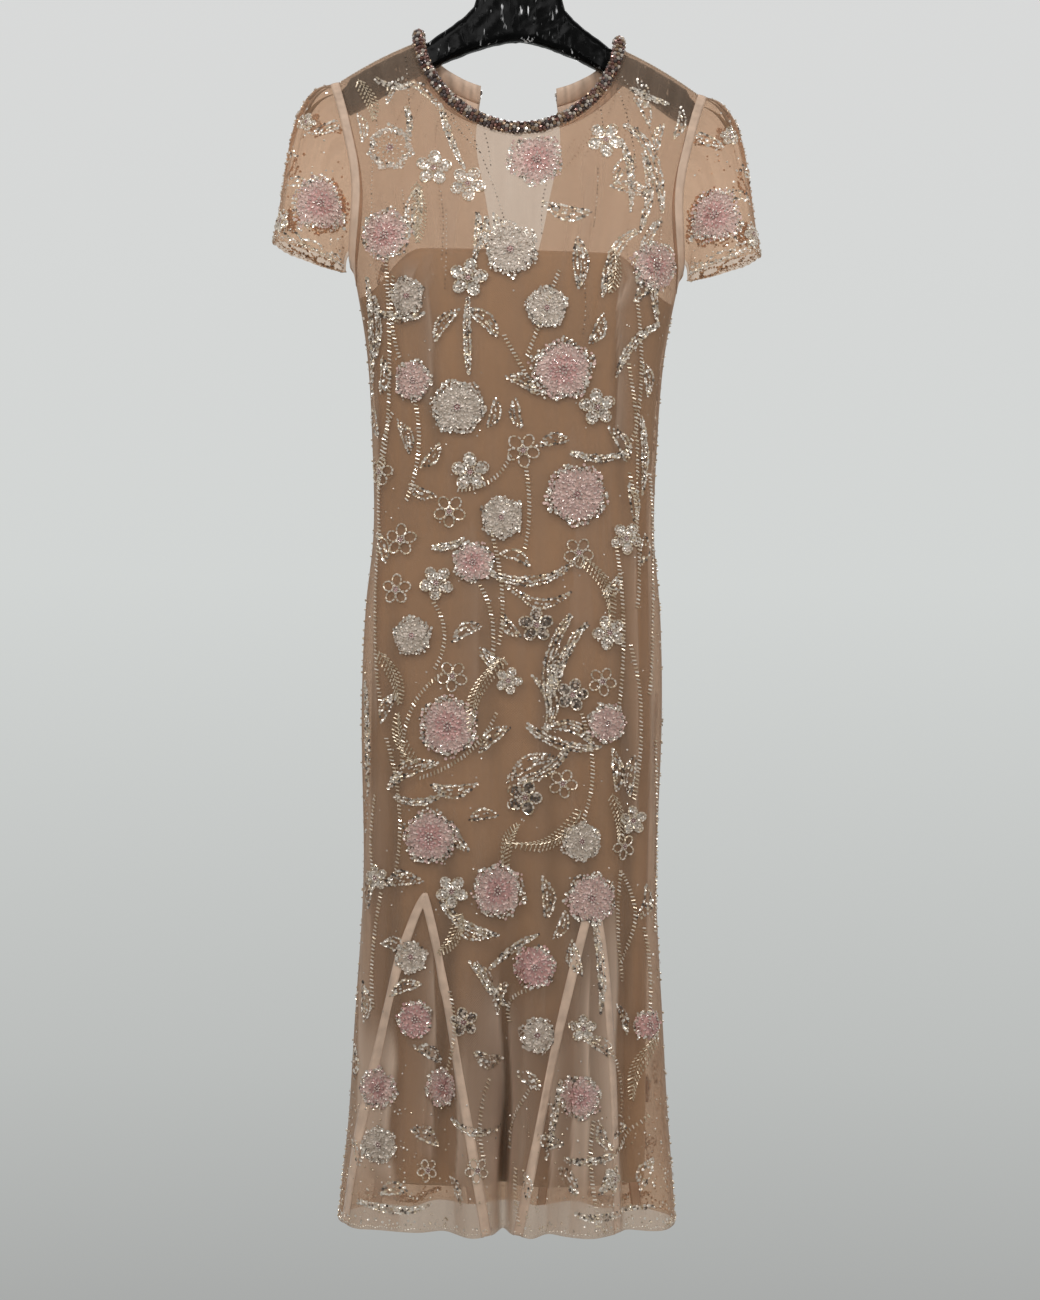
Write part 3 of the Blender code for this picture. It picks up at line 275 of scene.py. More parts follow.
# A chain of overlapping sequins: x and drop at its start, its bending point and its end, width.
FRONT_CHAINS = (
    (-24, 726, 28, 748, 62, 714, 8), (60, 770, 28, 812, 40, 872, 9), (78, 778, 52, 800, 44, 850, 7),
    (16, 884, 50, 912, 92, 906, 8), (8, 942, 44, 936, 62, 902, 8), (132, 282, 146, 320, 128, 366, 7),
    (108, 268, 124, 300, 118, 344, 6), (-82, 236, -74, 270, -56, 304, 5),
    (112, 252, 146, 262, 152, 342, 9), (124, 366, 98, 378, 90, 436, 9),
    (-41, 352, -38, 376, -44, 404, 6), (150, 352, 132, 368, 126, 420, 8),
    (-156, 420, -150, 470, -150, 540, 6), (-150, 452, -120, 470, -96, 458, 6),
    (150, 462, 120, 476, 104, 520, 7), (-84, 700, -60, 700, -52, 690, 6),
    (60, 600, 96, 612, 118, 596, 6), (-154, 840, -150, 900, -150, 960, 6),
    (-120, 960, -96, 972, -70, 956, 6), (-20, 1136, 10, 1110, 30, 1100, 6),
    (-56, 1290, -30, 1310, -8, 1300, 6), (60, 1330, 96, 1334, 124, 1318, 6),
    (-150, 1380, -110, 1392, -80, 1380, 6), (70, 1384, 110, 1394, 150, 1382, 6),
    (-32, 356, -30, 372, -36, 388, 5), (-50, 442, -52, 478, -48, 520, 6),
    (-70, 1068, -52, 1096, -12, 1102, 8), (-34, 1130, -22, 1160, 0.0, 1178, 7),
    (88, 1088, 98, 1140, 94, 1180, 6), (56, 1250, 50, 1290, 40, 1330, 6),
    (-150, 210, -128, 224, -112, 214, 5), (-118, 240, -110, 258, -116, 274, 5),
    (118, 212, 140, 222, 158, 226, 5), (150, 384, 140, 420, 148, 460, 7),
    (-148, 440, -140, 470, -146, 500, 6), (132, 560, 140, 600, 134, 640, 6),
)
# On a sleeve: kind, step round the armhole (8 is the top, under 8 the front), share of its length,
# radius. The back of the sleeve has the same at 16 less the step.
SLEEVE_FLOWERS = (
    ("rose", 3.1, 0.57, 30), ("petals", 6.1, 0.90, 13), ("petals", 5.6, 0.32, 10),
)
SLEEVE_LEAVES = (  # step, share, length, width, heading, bend
    (6.6, 0.60, 28, 9, 30, 4), (4.2, 0.14, 34, 9, 170, 4), (4.8, 0.95, 34, 7, 92, 2),
    (3.2, 0.95, 34, 7, 90, 2), (1.7, 0.94, 30, 6, 84, 2), (7.6, 0.30, 26, 8, 10, 3),
    (5.2, 0.66, 30, 9, 40, 4), (7.4, 0.92, 30, 7, 92, 2),
)
# Where the net lies double over itself, which adds to its cover and, as painted light, makes its
# colour paler: x and drop at its top and its foot, width, share, and the side of its crisp edge (1
# is the viewer's right).
FRONT_VEILS = (
    (106, 1020, 116, 1408, 26, 0.34, 1), (-9, 1120, -8, 1408, 24, 0.30, 1),
    (3, 1140, 5, 1408, 16, 0.24, -1), (46, 1180, 44, 1408, 14, 0.24, -1),
    (-78, 1090, -76, 1350, 12, 0.24, 1), (-53, 1200, -50, 1408, 14, 0.22, -1),
    (-126, 1180, -118, 1408, 44, 0.30, 1), (84, 1110, 82, 1390, 8, 0.22, 1),
    (70, 1240, 66, 1408, 12, 0.20, -1), (-150, 900, -160, 1408, 16, 0.24, -1),
    (142, 560, 148, 1260, 14, 0.22, -1), (128, 640, 134, 1010, 8, 0.22, 1),
    (-146, 480, -142, 900, 10, 0.20, 1), (-92, 384, -86, 560, 9, 0.20, 1),
    (108, 372, 106, 600, 9, 0.26, -1), (-40, 660, -34, 860, 16, 0.12, 1),
    (60, 560, 66, 800, 16, 0.12, -1), (-150, 330, -96, 452, 12, 0.24, 1),
    (152, 320, 104, 450, 12, 0.24, -1), (-60, 250, -66, 400, 18, 0.12, 1),
    (72, 262, 66, 400, 16, 0.12, -1),
)
BACK_VEILS = (
    (-104, 1100, -108, 1408, 18, 0.28, 1), (-36, 1080, -34, 1408, 20, 0.28, -1),
    (18, 1120, 22, 1408, 14, 0.24, 1), (72, 1100, 70, 1408, 22, 0.30, -1),
    (136, 1080, 146, 1408, 16, 0.26, 1), (-140, 700, -146, 1250, 12, 0.20, -1),
    (120, 600, 128, 1060, 10, 0.20, 1),
)
SLEEVE_TUCKS = (  # step at its middle, half its width in steps, length as a share of the sleeve
    (6.2, 0.48, 0.36), (7.2, 0.30, 0.22), (9.4, 0.46, 0.30),
)
BACK_SHIFT = 12.0  # the back repeats the front's motifs mirrored and this much lower
YOKE_DROP = 404.0  # above this the back has only a few flowers, because it shows through the front

FLOWER_FINISHES = {  # the sequins of a round flower's middle and outer field, and its spokes
    "rose": ("rose", "pink", "pearl_bead"),
    "blush": ("pink", "pink", "pearl_bead"),
    "white": ("pearl", "pearl", "crystal"),
    "mauve": ("rose", "rose", "pearl_bead"),
    "ring": ("", "", "crystal"),
}
RIM_MIX = (42, 36, 14, 8)  # a round flower's rim: silver, its own outer colour, crystal, smoke
LEAF_MIX = (44, 20, 20, 16)  # a leaf or a chain: silver, crystal, gold, smoke
BEAD_SIDES = 5
CORD_SIDES = 10
GOLDEN_TURN = math.pi * (3 - math.sqrt(5))

# By side: -1 is in front and 1 behind.
NET_FOLDS = {-1: FRONT_FOLDS, 1: BACK_FOLDS}
NET_CREASES = {-1: FRONT_CREASES, 1: BACK_CREASES}
NET_VEILS = {-1: FRONT_VEILS, 1: BACK_VEILS}
SLIP_FOLDS = {-1: LINING_FRONT_FOLDS, 1: LINING_BACK_FOLDS}
SLIP_CREASES = {-1: LINING_FRONT_CREASES, 1: LINING_BACK_CREASES}
NECK_BOTTOM = {-1: ROPE_FRONT_DROP, 1: ROPE_BACK_DROP}
SHOULDER_SHARE = {-1: 0.25, 1: 0.3}  # of the way in along a panel's top edge
ARMHOLE_SHARE = 8 / 13  # of the way down a bodice's side edge
BODICE_ROWS = 52
SKIRT_ROWS = 56
LEG_ROWS = 60


# ---------------------------------------------------------------- curves and tables
def along(rows, drop, column):
    """A smooth curve through one column of a table whose first column rises."""
    last = len(rows) - 1
    at = max(0, min(last - 1, sum(1 for row in rows if row[0] <= drop) - 1))
    low, high = rows[at], rows[at + 1]
    span = high[0] - low[0]
    share = max(0.0, min(1.0, (drop - low[0]) / span))

    def slope(index):
        before, after = rows[max(0, index - 1)], rows[min(last, index + 1)]
        return (after[column] - before[column]) / (after[0] - before[0])

    square, cube = share * share, share**3
    return (
        (2 * cube - 3 * square + 1) * low[column]
        + (cube - 2 * square + share) * span * slope(at)
        + (3 * square - 2 * cube) * high[column]
        + (cube - square) * span * slope(at + 1)
    )


def ease(share):
    share = max(0.0, min(1.0, share))
    return share * share * (3 - 2 * share)


def mix(a, b, share):
    return a + (b - a) * share


def lean_share(drop):
    return 1 - ease((drop - LEAN_FULL_DROP) / (LEAN_NONE_DROP - LEAN_FULL_DROP))


def leaning(point):
    """The point after everything near the hanger leans with it."""
    return Vector((point.x, point.y, point.z - LEAN * lean_share(-point.z) * point.x))


def curve_point(start, bend, end, share):
    """A point of the curve that leaves start towards bend and reaches end."""
    rest = 1 - share
    return tuple(
        a * rest * rest + b * 2 * rest * share + c * share * share
        for a, b, c in zip(start, bend, end)
    )


# ---------------------------------------------------------------- the body's surface
def ridge_drop(x):
    out = abs(x) - NECK_HALF_WIDTH
    return RIDGE_DROP + RIDGE_SLOPE * out + RIDGE_CURVE * out * out


def fold_height(folds, x, drop):
    """How far the folds push the cloth outwards there."""
    total = 0.0
    for top_x, hem_x, top_width, hem_width, height, start, full in folds:
        share = (drop - start) / (full - start)
        if share > 0:
            middle = mix(top_x, hem_x, min(1.0, share))
            half_width = mix(top_width, hem_width, min(1.0, share))
            off = (x - middle) / half_width
            if abs(off) < 3:
                total += height * ease(share) * math.exp(-off * off)
    return total


def crease_height(creases, x, drop):
    """How far the smaller creases push the cloth outwards there."""
    total = 0.0
    for top_x, top_drop, foot_x, foot_drop, half_width, height in creases:
        share = (drop - top_drop) / (foot_drop - top_drop)
        if 0 < share < 1:
            middle = mix(top_x, foot_x, share) + 0.35 * half_width * math.sin(7 * share + top_x)
            off = (x - middle) / half_width
            if abs(off) < 3:
                fade = min(1.0, 3.2 * share, 4.5 * (1 - share))
                total += height * ease(fade) * math.exp(-off * off)
    return total


def veil_share(veils, x, drop):
    """How much more there is of the net where it lies double: sharp on one side, fading on the other."""
    total = 0.0
    for top_x, top_drop, foot_x, foot_drop, width, share, side in veils:
        down = (drop - top_drop) / (foot_drop - top_drop)
        if 0 < down < 1:
            middle = mix(top_x, foot_x, down) + 0.12 * width * math.sin(9 * down + top_x)
            off = (middle - x) * side / width
            if -0.15 < off < 3:
                shape = math.exp(-1.3 * off) if off > 0 else 1 + off / 0.15
                fade = ease(min(1.0, 4 * down, 9 * (1 - down) + (foot_drop > 1400)))
                total += (1.4 + 0.8 * ease((drop - 1020) / 200)) * share * shape * fade
    return total


def net_veil_and_shade_mask(point):
    """For the net's finish at a point: red where the net lies double, which adds to its cover and,
    as painted light, makes its colour paler; green for painted shade in valleys; blue for painted
    highlight on crests. Near the hem the net is made thinner and its colour a little darker.
    """
    side = -1 if point.y < 0 else 1
    drop = -point.z
    large = fold_height(NET_FOLDS[side], point.x, drop)
    small = crease_height(NET_CREASES[side], point.x, drop)
    valley_shade = max(0.0, -large / 30) ** 3 + max(0.0, -small / 9)
    near_hem = ease((drop - 1330) / 50)
    veil = veil_share(NET_VEILS[side], point.x, drop) * (1 - 0.55 * near_hem) - 0.10 * near_hem
    return Vector((veil, valley_shade, max(0.0, large / 30 + small / 8)))


def slip_shade_mask(point):
    """For the slip's finish at a point: green for painted shade in valleys, blue for painted highlight
    on crests.
    """
    side = -1 if point.y < 0 else 1
    drop = -point.z
    large = fold_height(SLIP_FOLDS[side], point.x, drop)
    small = crease_height(SLIP_CREASES[side], point.x, drop)
    valley_shade = max(0.0, -large / 22) ** 3 + max(0.0, -small / 7)
    return Vector((0.0, valley_shade, max(0.0, large / 12 + small / 8)))


def plain_mask(point):
    return Vector((0.0, 0.0, 0.0))


def facing_shade_mask(point):
    """For a neck facing's finish: painted shade in narrow valleys that run down between its gathers,
    and a painted highlight on the ridges between them.
    """
    wave = math.sin(0.62 * point.x + 1.7 * math.sin(0.13 * point.x) + 0.05 * point.z)
    return Vector((0.0, 0.55 * max(0.0, wave) ** 3, max(0.0, -wave) ** 3))


@functools.lru_cache(maxsize=4096)
def section(drop, side):
    """Half width and depth of the body's section; side is -1 in front and 1 behind."""
    return along(BODY_ROWS, drop, 1), along(BODY_ROWS, drop, 2 if side < 0 else 3)


def ridge_roll(below):
    """The share of its depth that the cloth has reached, this far below the shoulder ridge."""
    return math.sqrt(max(0.0, 1 - max(0.0, 1 - below / RIDGE_ROLL) ** 2))


def turned(share):
    """The angle at which x is this share of the half width; placed() is the other way round."""
    return math.asin(min(1.0, abs(share) ** (SQUARENESS / 2))) * math.copysign(1, share)


def placed(angle):
    return math.copysign(abs(math.sin(angle)) ** (2 / SQUARENESS), angle)


def wall_point(angle, drop, side, folds, creases, half, depth):
    """A point of one side's wall, whose section has this half width and depth."""
    x = half * placed(angle)
    y = depth * abs(math.cos(angle)) ** (2 / SQUARENESS)
    out = Vector((x / half**2, side * y / depth**2, 0.0)).normalized()
    y *= ridge_roll(drop - ridge_drop(x))
    push = fold_height(folds, x, drop) + crease_height(creases, x, drop)
    return Vector((x, side * y, -drop)) + out * push


def side_and_angle(turn):
    """The side that a turn is on, and its angle from centre front or centre back."""
    if abs(turn) <= math.pi / 2:
        return -1, turn
    return 1, math.copysign(math.pi - abs(turn), turn)


def net_point(turn, drop):
    """A point of the net, anywhere round the body."""
    side, angle = side_and_angle(turn)
    return wall_point(angle, drop, side, NET_FOLDS[side], NET_CREASES[side], *section(drop, side))


def slip_point(turn, drop):
    """A point of the slip, anywhere round the body."""
    side, angle = side_and_angle(turn)
    half, depth = section(drop, side)
    half -= LINING_INSIDE + along(LINING_EASE, drop, 1)
    depth -= LINING_INSIDE + along(LINING_EASE, drop, 2 if side < 0 else 3)
    return wall_point(angle, drop, side, SLIP_FOLDS[side], SLIP_CREASES[side], half, depth)


def body_turn(x, drop, side):
    """The turn at which the net reaches x, in front or behind."""
    angle = turned(x / section(drop, side)[0])
    return angle if side < 0 else math.copysign(math.pi, x) - angle


# ---------------------------------------------------------------- outlines of the bodice
def rope_point(turn, bottom):
    """x and drop of the rope's centre: turn is 0 beside the neck and a right angle at its middle."""
    power = 2 / ROPE_ROUNDNESS
    x = NECK_HALF_WIDTH * math.cos(turn) ** power
    return x, mix(ROPE_TOP_DROP, bottom, math.sin(turn) ** power)


@functools.lru_cache(maxsize=None)
def neck_edge(turn, bottom):
    """x and drop of the cloth's edge under the rope, just clear of it."""
    x, drop = rope_point(turn, bottom)
    step = 0.01
    onward = Vector((0.0, 1.0))
    if turn > 0:
        ahead = Vector(rope_point(min(math.pi / 2, turn + step), bottom))
        onward = (ahead - Vector(rope_point(max(0.0, turn - step), bottom))).normalized()
    lifted = max(0.0, 1 - (drop - ROPE_TOP_DROP) / RIDGE_ROLL)
    rise = (RIDGE_DROP - ROPE_TOP_DROP) * lifted
    reach = math.sqrt((ROPE_REACH + ROPE_GAP) ** 2 - rise**2)
    x += onward.y * reach
    return x, drop - onward.x * reach + lifted * (ridge_drop(x) - ROPE_TOP_DROP)


@functools.lru_cache(maxsize=None)
def back_neck_turn():
    """The turn at which the back neckline reaches the opening."""
    low, high = 0.0, math.pi / 2
    for _ in range(40):
        middle = (low + high) / 2
        if rope_point(middle, ROPE_BACK_DROP)[0] > BACK_NECK_EDGE:
            low = middle
        else:
            high = middle
    return low


def armhole_drop(step):
    share = 1 - (1 - step / ARMHOLE_STEPS) ** 2.3
    return mix(UNDERARM_DROP, ridge_drop(SHOULDER_TIP), share)


@functools.lru_cache(maxsize=None)
def top_edge(side, inward):
    """Angle and drop along the top of half a panel: in along the shoulder and down the neck."""
    bottom = NECK_BOTTOM[side]
    shoulder = SHOULDER_SHARE[side]
    if inward < shoulder:
        x = mix(SHOULDER_TIP, neck_edge(0.0, bottom)[0], inward / shoulder)
        drop = ridge_drop(x)
    else:
        last = math.pi / 2 if side < 0 else back_neck_turn()
        x, drop = neck_edge(last * ((inward - shoulder) / (1 - shoulder)) ** 2, bottom)
    return turned(x / section(drop, side)[0]), drop


@functools.lru_cache(maxsize=None)
def side_edge(side, down):
    """Angle and drop down the side of half a panel: the armhole and then the side seam."""
    if down < ARMHOLE_SHARE:
        drop = armhole_drop(ARMHOLE_STEPS * (1 - down / ARMHOLE_SHARE))
        return turned(along(ARMHOLE_ROWS, drop, 1) / section(drop, side)[0]), drop
    below = (down - ARMHOLE_SHARE) / (1 - ARMHOLE_SHARE)
    return math.pi / 2, mix(UNDERARM_DROP, WAIST_DROP, below)


def opening_angle(drop, side):
    """The angle at centre front, or at the edge of the centre back opening."""
    if side < 0 or drop >= OPENING_ROWS[-1][0]:
        return 0.0
    return turned(along(OPENING_ROWS, drop, 1) / section(drop, side)[0])


@functools.lru_cache(maxsize=None)
def below_ridge(angle, drop, side):
    return drop - ridge_drop(section(drop, side)[0] * placed(angle))


@functools.lru_cache(maxsize=None)
def bodice_place(side, inward, row):
    """Angle and drop of a place in half a bodice, blended from its four edges."""
    edge_angle, edge_drop = side_edge(side, row)
    start_drop = side_edge(side, 0.0)[1]
    down = (edge_drop - start_drop) / (WAIST_DROP - start_drop)
    spread = down**COLUMN_SPREAD
    top_angle, top_drop = top_edge(side, inward)
    outer_angle, outer_drop = top_edge(side, 0.0)
    inner_angle, inner_drop = top_edge(side, 1.0)
    waist = mix(math.pi / 2, 0.0, inward)
    centre_drop = mix(inner_drop, WAIST_DROP, down)
    middle = opening_angle(centre_drop, side)
    angle = mix(top_angle, waist, spread) + mix(edge_angle, middle, inward)
    angle -= mix(mix(outer_angle, inner_angle, inward), waist, spread)

    def under(angle, drop):
        return below_ridge(angle, drop, side)

    low = mix(under(math.pi / 2, WAIST_DROP), under(0.0, WAIST_DROP), inward)
    high = mix(under(outer_angle, outer_drop), under(inner_angle, inner_drop), inward)
    below = mix(under(top_angle, top_drop), under(waist, WAIST_DROP), down)
    below += mix(under(edge_angle, edge_drop), under(middle, centre_drop), inward)
    below -= mix(high, low, down)
    drop = edge_drop
    for _ in range(8):
        drop = below + ridge_drop(section(drop, side)[0] * placed(angle))
    return angle, drop


# ---------------------------------------------------------------- skirt
def godet_edges(godet, share):
    """x of a godet's left and right seams at a share of its height."""
    _, point_x, left_hem, right_hem, left_bend, right_bend = GODETS[godet]
    return mix(point_x, left_hem, share**left_bend), mix(point_x, right_hem, share**right_bend)


def godet_drop(share):
    return mix(GODET_DROP, HEM_DROP, share)


def between(start, end, half, share):
    """The angle at a share of the way from one x to another; round the section by a side seam."""
    first, last = turned(max(-1.0, start / half)), turned(min(1.0, end / half))
    if max(abs(first), abs(last)) > 1.5:
        return mix(first, last, share)
    return turned(mix(start, end, share) / half)


def leg_angle(side, first_angle, last_angle, godets, piece, share, down):
    """The angle across one leg of the skirt, between godets or between a godet and an edge."""
    half = section(godet_drop(down), side)[0]
    start = godet_edges(godets[piece - 1], down)[1] if piece else placed(first_angle) * half
    end = godet_edges(godets[piece], down)[0] if piece < len(godets) else placed(last_angle) * half
    return between(start, end, half, share)


def round_turn(angle, side):
    return angle if side < 0 else math.copysign(math.pi, angle) - angle


def flat_place(turn, drop):
    """Where a place in the cloth lies in its pattern, for its weave."""
    return Vector((150.0 * turn, drop, 0.0))


def panel_patches(side, first_angle, last_angle, godets, columns):
    """The grids of one panel: its bodice halves, its upper skirt and its legs beside the godets."""
    patches = []

    signs = [sign for sign, angle in ((-1, first_angle), (1, last_angle)) if abs(angle) > 0.1]

    def bodice_turn(sign, inward, down):
        angle, drop = bodice_place(side, round(inward, 5), round(down, 5))
        return round_turn(sign * angle if angle else sign * 1e-7, side), drop

    for sign in signs:
        def bodice(across, down, sign=sign):
            turn, drop = bodice_turn(sign, across if sign < 0 else 1 - across, down)
            return net_point(turn, drop), flat_place(turn, drop)

        patches.append((columns[0] if sign < 0 else columns[-1], BODICE_ROWS, bodice))
    whole = sum(columns)
    tops = []
    for godet in godets:
        target = turned(GODETS[godet][1] / section(GODET_DROP, side)[0])
        tops.append(round(whole * (target - first_angle) / (last_angle - first_angle)))
    splits = [0, *tops, whole]

    def apex_angle(across):
        for piece in range(len(splits) - 1):
            if across * whole <= splits[piece + 1] + 1e-6:
                share = (across * whole - splits[piece]) / (splits[piece + 1] - splits[piece])
                return leg_angle(side, first_angle, last_angle, godets, piece, share, 0.0)
        return last_angle

    def skirt(across, down):
        drop = mix(WAIST_DROP, GODET_DROP, down)
        angle = mix(mix(first_angle, last_angle, across), apex_angle(across), down)
        turn = round_turn(angle, side)
        return net_point(turn, drop), flat_place(turn, drop)

    patches.append((whole, SKIRT_ROWS, skirt))
    last = math.pi / 2 if side < 0 else back_neck_turn()
    for sign in signs:
        def under_rope(across, down, sign=sign):
            turn, drop = bodice_turn(sign, mix(SHOULDER_SHARE[side], 1.0, across), 0.0)
            centre = rope_centre(last * across**2, side, sign)
            return net_point(turn, drop).lerp(centre, down * 0.9), flat_place(turn, drop - 8 * down)

        patches.append((36, 2, under_rope))
    for piece in range(len(splits) - 1):
        def leg(across, down, piece=piece):
            angle = leg_angle(side, first_angle, last_angle, godets, piece, across, down)
            turn = round_turn(angle, side)
            return net_point(turn, godet_drop(down)), flat_place(turn, godet_drop(down))

        patches.append((splits[piece + 1] - splits[piece], LEG_ROWS, leg))
    return patches


def wedge_patch(godet):
    """The net wedge between a godet's two tapes."""
    side = GODETS[godet][0]

    def place(across, down):
        share = mix(0.05, 1.0, down)
        left, right = godet_edges(godet, share)
        drop = godet_drop(share)
        half = section(drop, side)[0]
        angle = between(left + TAPE_WIDTH - 0.6, right - TAPE_WIDTH + 0.6, half, across)
        turn = round_turn(angle, side)
        return net_point(turn, drop), flat_place(turn, drop)

    return 36, SKIRT_ROWS, place


def tape_patches(godet):
    """The two legs of the tape over a godet's seams, just proud of the net."""
    side = GODETS[godet][0]
    patches = []
    for leg in (0, 1):
        def place(across, down, leg=leg):
            share = mix(0.004, 0.998, down)
            left, right = godet_edges(godet, share)
            middle = (left + right) / 2
            if leg == 0:
                start, end = left - 0.7, min(left + TAPE_WIDTH + 0.6, middle)
            else:
                start, end = max(right - TAPE_WIDTH - 0.6, middle), right + 0.7
            drop = godet_drop(share)
            half = section(drop, side)[0]
            turn = round_turn(turned(max(-1.0, min(1.0, mix(start, end, across) / half))), side)
            point, normal = lifted(net_point, turn, drop, 0.004, 0.5)
            pucker = 0.45 * math.sin(0.42 * drop + 3 * leg + math.sin(0.07 * drop))
            lift = 0.45 + pucker * math.sin(math.pi * across)
            return point + normal * lift, Vector((10.0 * across, drop, 0.0))

        patches.append((4, 90, place))
    return patches


def lifted(surface, a, b, step_a, step_b):
    """A point of a surface and the way out of the cloth there."""
    here = surface(a, b)
    over = surface(a + step_a, b) - surface(a - step_a, b)
    under = surface(a, b + step_b) - surface(a, b - step_b)
    return here, under.cross(over).normalized()


# ---------------------------------------------------------------- slip
def slip_patch(side):
    top = LINING_TOP_DROP if side < 0 else LINING_BACK_TOP_DROP
    half = section(top, side)[0] - LINING_INSIDE - along(LINING_EASE, top, 1)

    def place(across, down):
        angle = mix(-math.pi / 2, math.pi / 2, across)
        out = max(0.0, abs(placed(angle)) * half - LINING_TOP_HALF) / (half - LINING_TOP_HALF)
        edge = mix(top, LINING_SIDE_DROP, ease(out))
        drop = mix(edge, LINING_HEM_DROP, down)
        turn = round_turn(angle if angle else 1e-7, side)
        return slip_point(turn, drop), flat_place(turn, drop)

    return 128, 150, place


# ---------------------------------------------------------------- sleeves
@functools.lru_cache(maxsize=None)
def armhole_point(step):
    """A point of the armhole seam and the way out of the cloth; steps run up the front, over the
    shoulder and down the back."""
    step %= ARMHOLE_ROUND
    side = -1 if step <= ARMHOLE_STEPS else 1
    drop = armhole_drop(min(step, ARMHOLE_ROUND - step))
    angle = turned(min(1.0, along(ARMHOLE_ROWS, drop, 1) / section(drop, side)[0]))
    half, depth = section(drop, side)
    point = wall_point(angle, drop, side, (), (), half, depth)
    x, y = point.x, point.y
    if step % ARMHOLE_STEPS < 1e-6:
        point.y = 0.0
    up = max(0.0, 1 - (drop - ridge_drop(x)) / RIDGE_ROLL)
    out = Vector((x / half**2, side * abs(y) / depth**2, 0.0)).normalized()
    return point, mix(out, Vector((0.25, out.y, 0.95)), up).normalized()


@functools.lru_cache(maxsize=None)
def armhole_frame(step):
    """A point of the armhole seam, the way out of the cloth there and the way on past its edge."""
    point, normal = armhole_point(step)
    run = armhole_point(step + 0.3)[0] - armhole_point(step - 0.3)[0]
    return point, normal, run.cross(normal).normalized()


def sleeve_point(step, share):
    """A point of the viewer's right sleeve: share runs from the armhole binding to the hem."""
    seam, _, onward = armhole_frame(step)
    part = (step - SLEEVE_START) / (ARMHOLE_ROUND - 2 * SLEEVE_START)
    turn = mix(SLEEVE_END_TURN, 2 * math.pi - SLEEVE_END_TURN, part)
    up = (1 - math.cos(2 * math.pi * step / ARMHOLE_ROUND)) / 2
    front = -math.sin(turn)
    end = Vector(
        (
            SLEEVE_HEM_CENTRE - SLEEVE_HEM_HALF * math.cos(turn),
            front * SLEEVE_HEM_DEPTH,
            -(SLEEVE_HEM_DROP + SLEEVE_HEM_SLANT * math.cos(turn)),
        )
    )
    start = seam + onward * (ARMHOLE_TAPE + 2 * ARMHOLE_GAP)
    leave = (onward + Vector((0.6, 0.3 * front, 0.0))).normalized()
    arrive = Vector((0.22, 0.12 * front, -1.0)).normalized()
    length = (end - start).length
    first = start + leave * length * mix(0.30, 0.26, up)
    second = end - arrive * length * mix(0.05, 0.42, up)
    rest = 1 - share
    point = (
        start * rest**3
        + first * 3 * rest * rest * share
        + second * 3 * rest * share * share
        + end * share**3
    )
    out = Vector((0.35, front, 0.9 * up)).normalized()
    return point + out * sleeve_pleats(step, share)


def sleeve_pleats(step, share):
    """The gathers of the sleeve's head and the softer waves that run from them to its hem."""
    top = max(0.0, 1 - abs(step - ARMHOLE_STEPS) / 3.5)
    rise = ease(share / 0.4) * (1 - 0.85 * ease((share - 0.4) / 0.6))
    wave = math.cos(2 * math.pi * step)
    fine = math.cos(4 * math.pi * step + 1.3) * ease(share / 0.12) * (1 - ease(share / 0.5))
    flow = math.sin(2.1 * step + 1.9 * share) * 1.6 * ease(share)
    edge = math.sin(math.pi * 3.4 * step) * 1.1 * ease((share - 0.72) / 0.28)
    return SLEEVE_GATHER * top**0.7 * rise * wave + 1.1 * top * fine + flow + edge


def sleeve_cover_and_light_mask(point):
    """For the net's finish on a sleeve: a little denser towards its head. As painted light, its colour
    is made paler all over through the crest channel, and a little more towards its head.
    """
    high = ease((330 + point.z) / 130)
    return Vector((0.07 * high - 0.11, 0.0, 1.4))


def tuck_patch(middle, half, length):
    """A crescent of net folded under at the sleeve's head, along a narrow loop."""
    def place(across, down):
        swell = math.sin(math.pi * across)
        step = middle + half * math.cos(math.pi * across) + 0.36 * (down - 0.5) * swell
        share = length * swell
        point = sleeve_point(step, share + 0.01)
        centre = Vector((mix(SHOULDER_TIP, SLEEVE_HEM_CENTRE, 0.3), 0.0, point.z))
        inward = (centre - point).normalized()
        return point + inward * mix(1.3, 2.4, down), Vector((60 * across, 5 * down, 0.0))

    return 40, 3, place


# ---------------------------------------------------------------- rope
def rope_centre(turn, side, sign):
    x, drop = rope_point(turn, NECK_BOTTOM[side])
    half, depth = section(drop, side)
    curve = (1 - (x / half) ** SQUARENESS) ** (1 / SQUARENESS)
    return Vector((sign * x, side * depth * curve * ridge_roll(drop - ROPE_TOP_DROP), -drop))


def evenly(points, spacing):
    """The points of a smooth line again, evenly spaced."""
    lengths = [0.0]
    for before, after in zip(points, points[1:]):
        lengths.append(lengths[-1] + (after - before).length)
    count = max(1, round(lengths[-1] / spacing))
    even = []
    at = 0
    for step in range(count + 1):
        goal = lengths[-1] * step / count
        while at < len(points) - 2 and lengths[at + 1] < goal:
            at += 1
        part = (goal - lengths[at]) / max(1e-9, lengths[at + 1] - lengths[at])
        even.append(points[at].lerp(points[at + 1], max(0.0, min(1.0, part))))
    return even


def rope_line(spacing):
    """The rope's centre line, from one side of the back opening round the front to the other."""
    back, front = back_neck_turn() - 0.02, math.pi / 2
    parts = 160
    line = [rope_centre(back * (1 - (part / parts) ** 1.6), 1, -1) for part in range(parts)]
    line += [rope_centre(front * (part / parts) ** 1.6, -1, -1) for part in range(parts)]
    line += [rope_centre(front * (1 - part / parts) ** 1.6, -1, 1) for part in range(parts)]
    line += [rope_centre(back * (part / parts) ** 1.6, 1, 1) for part in range(parts + 1)]
    return evenly(line, spacing)


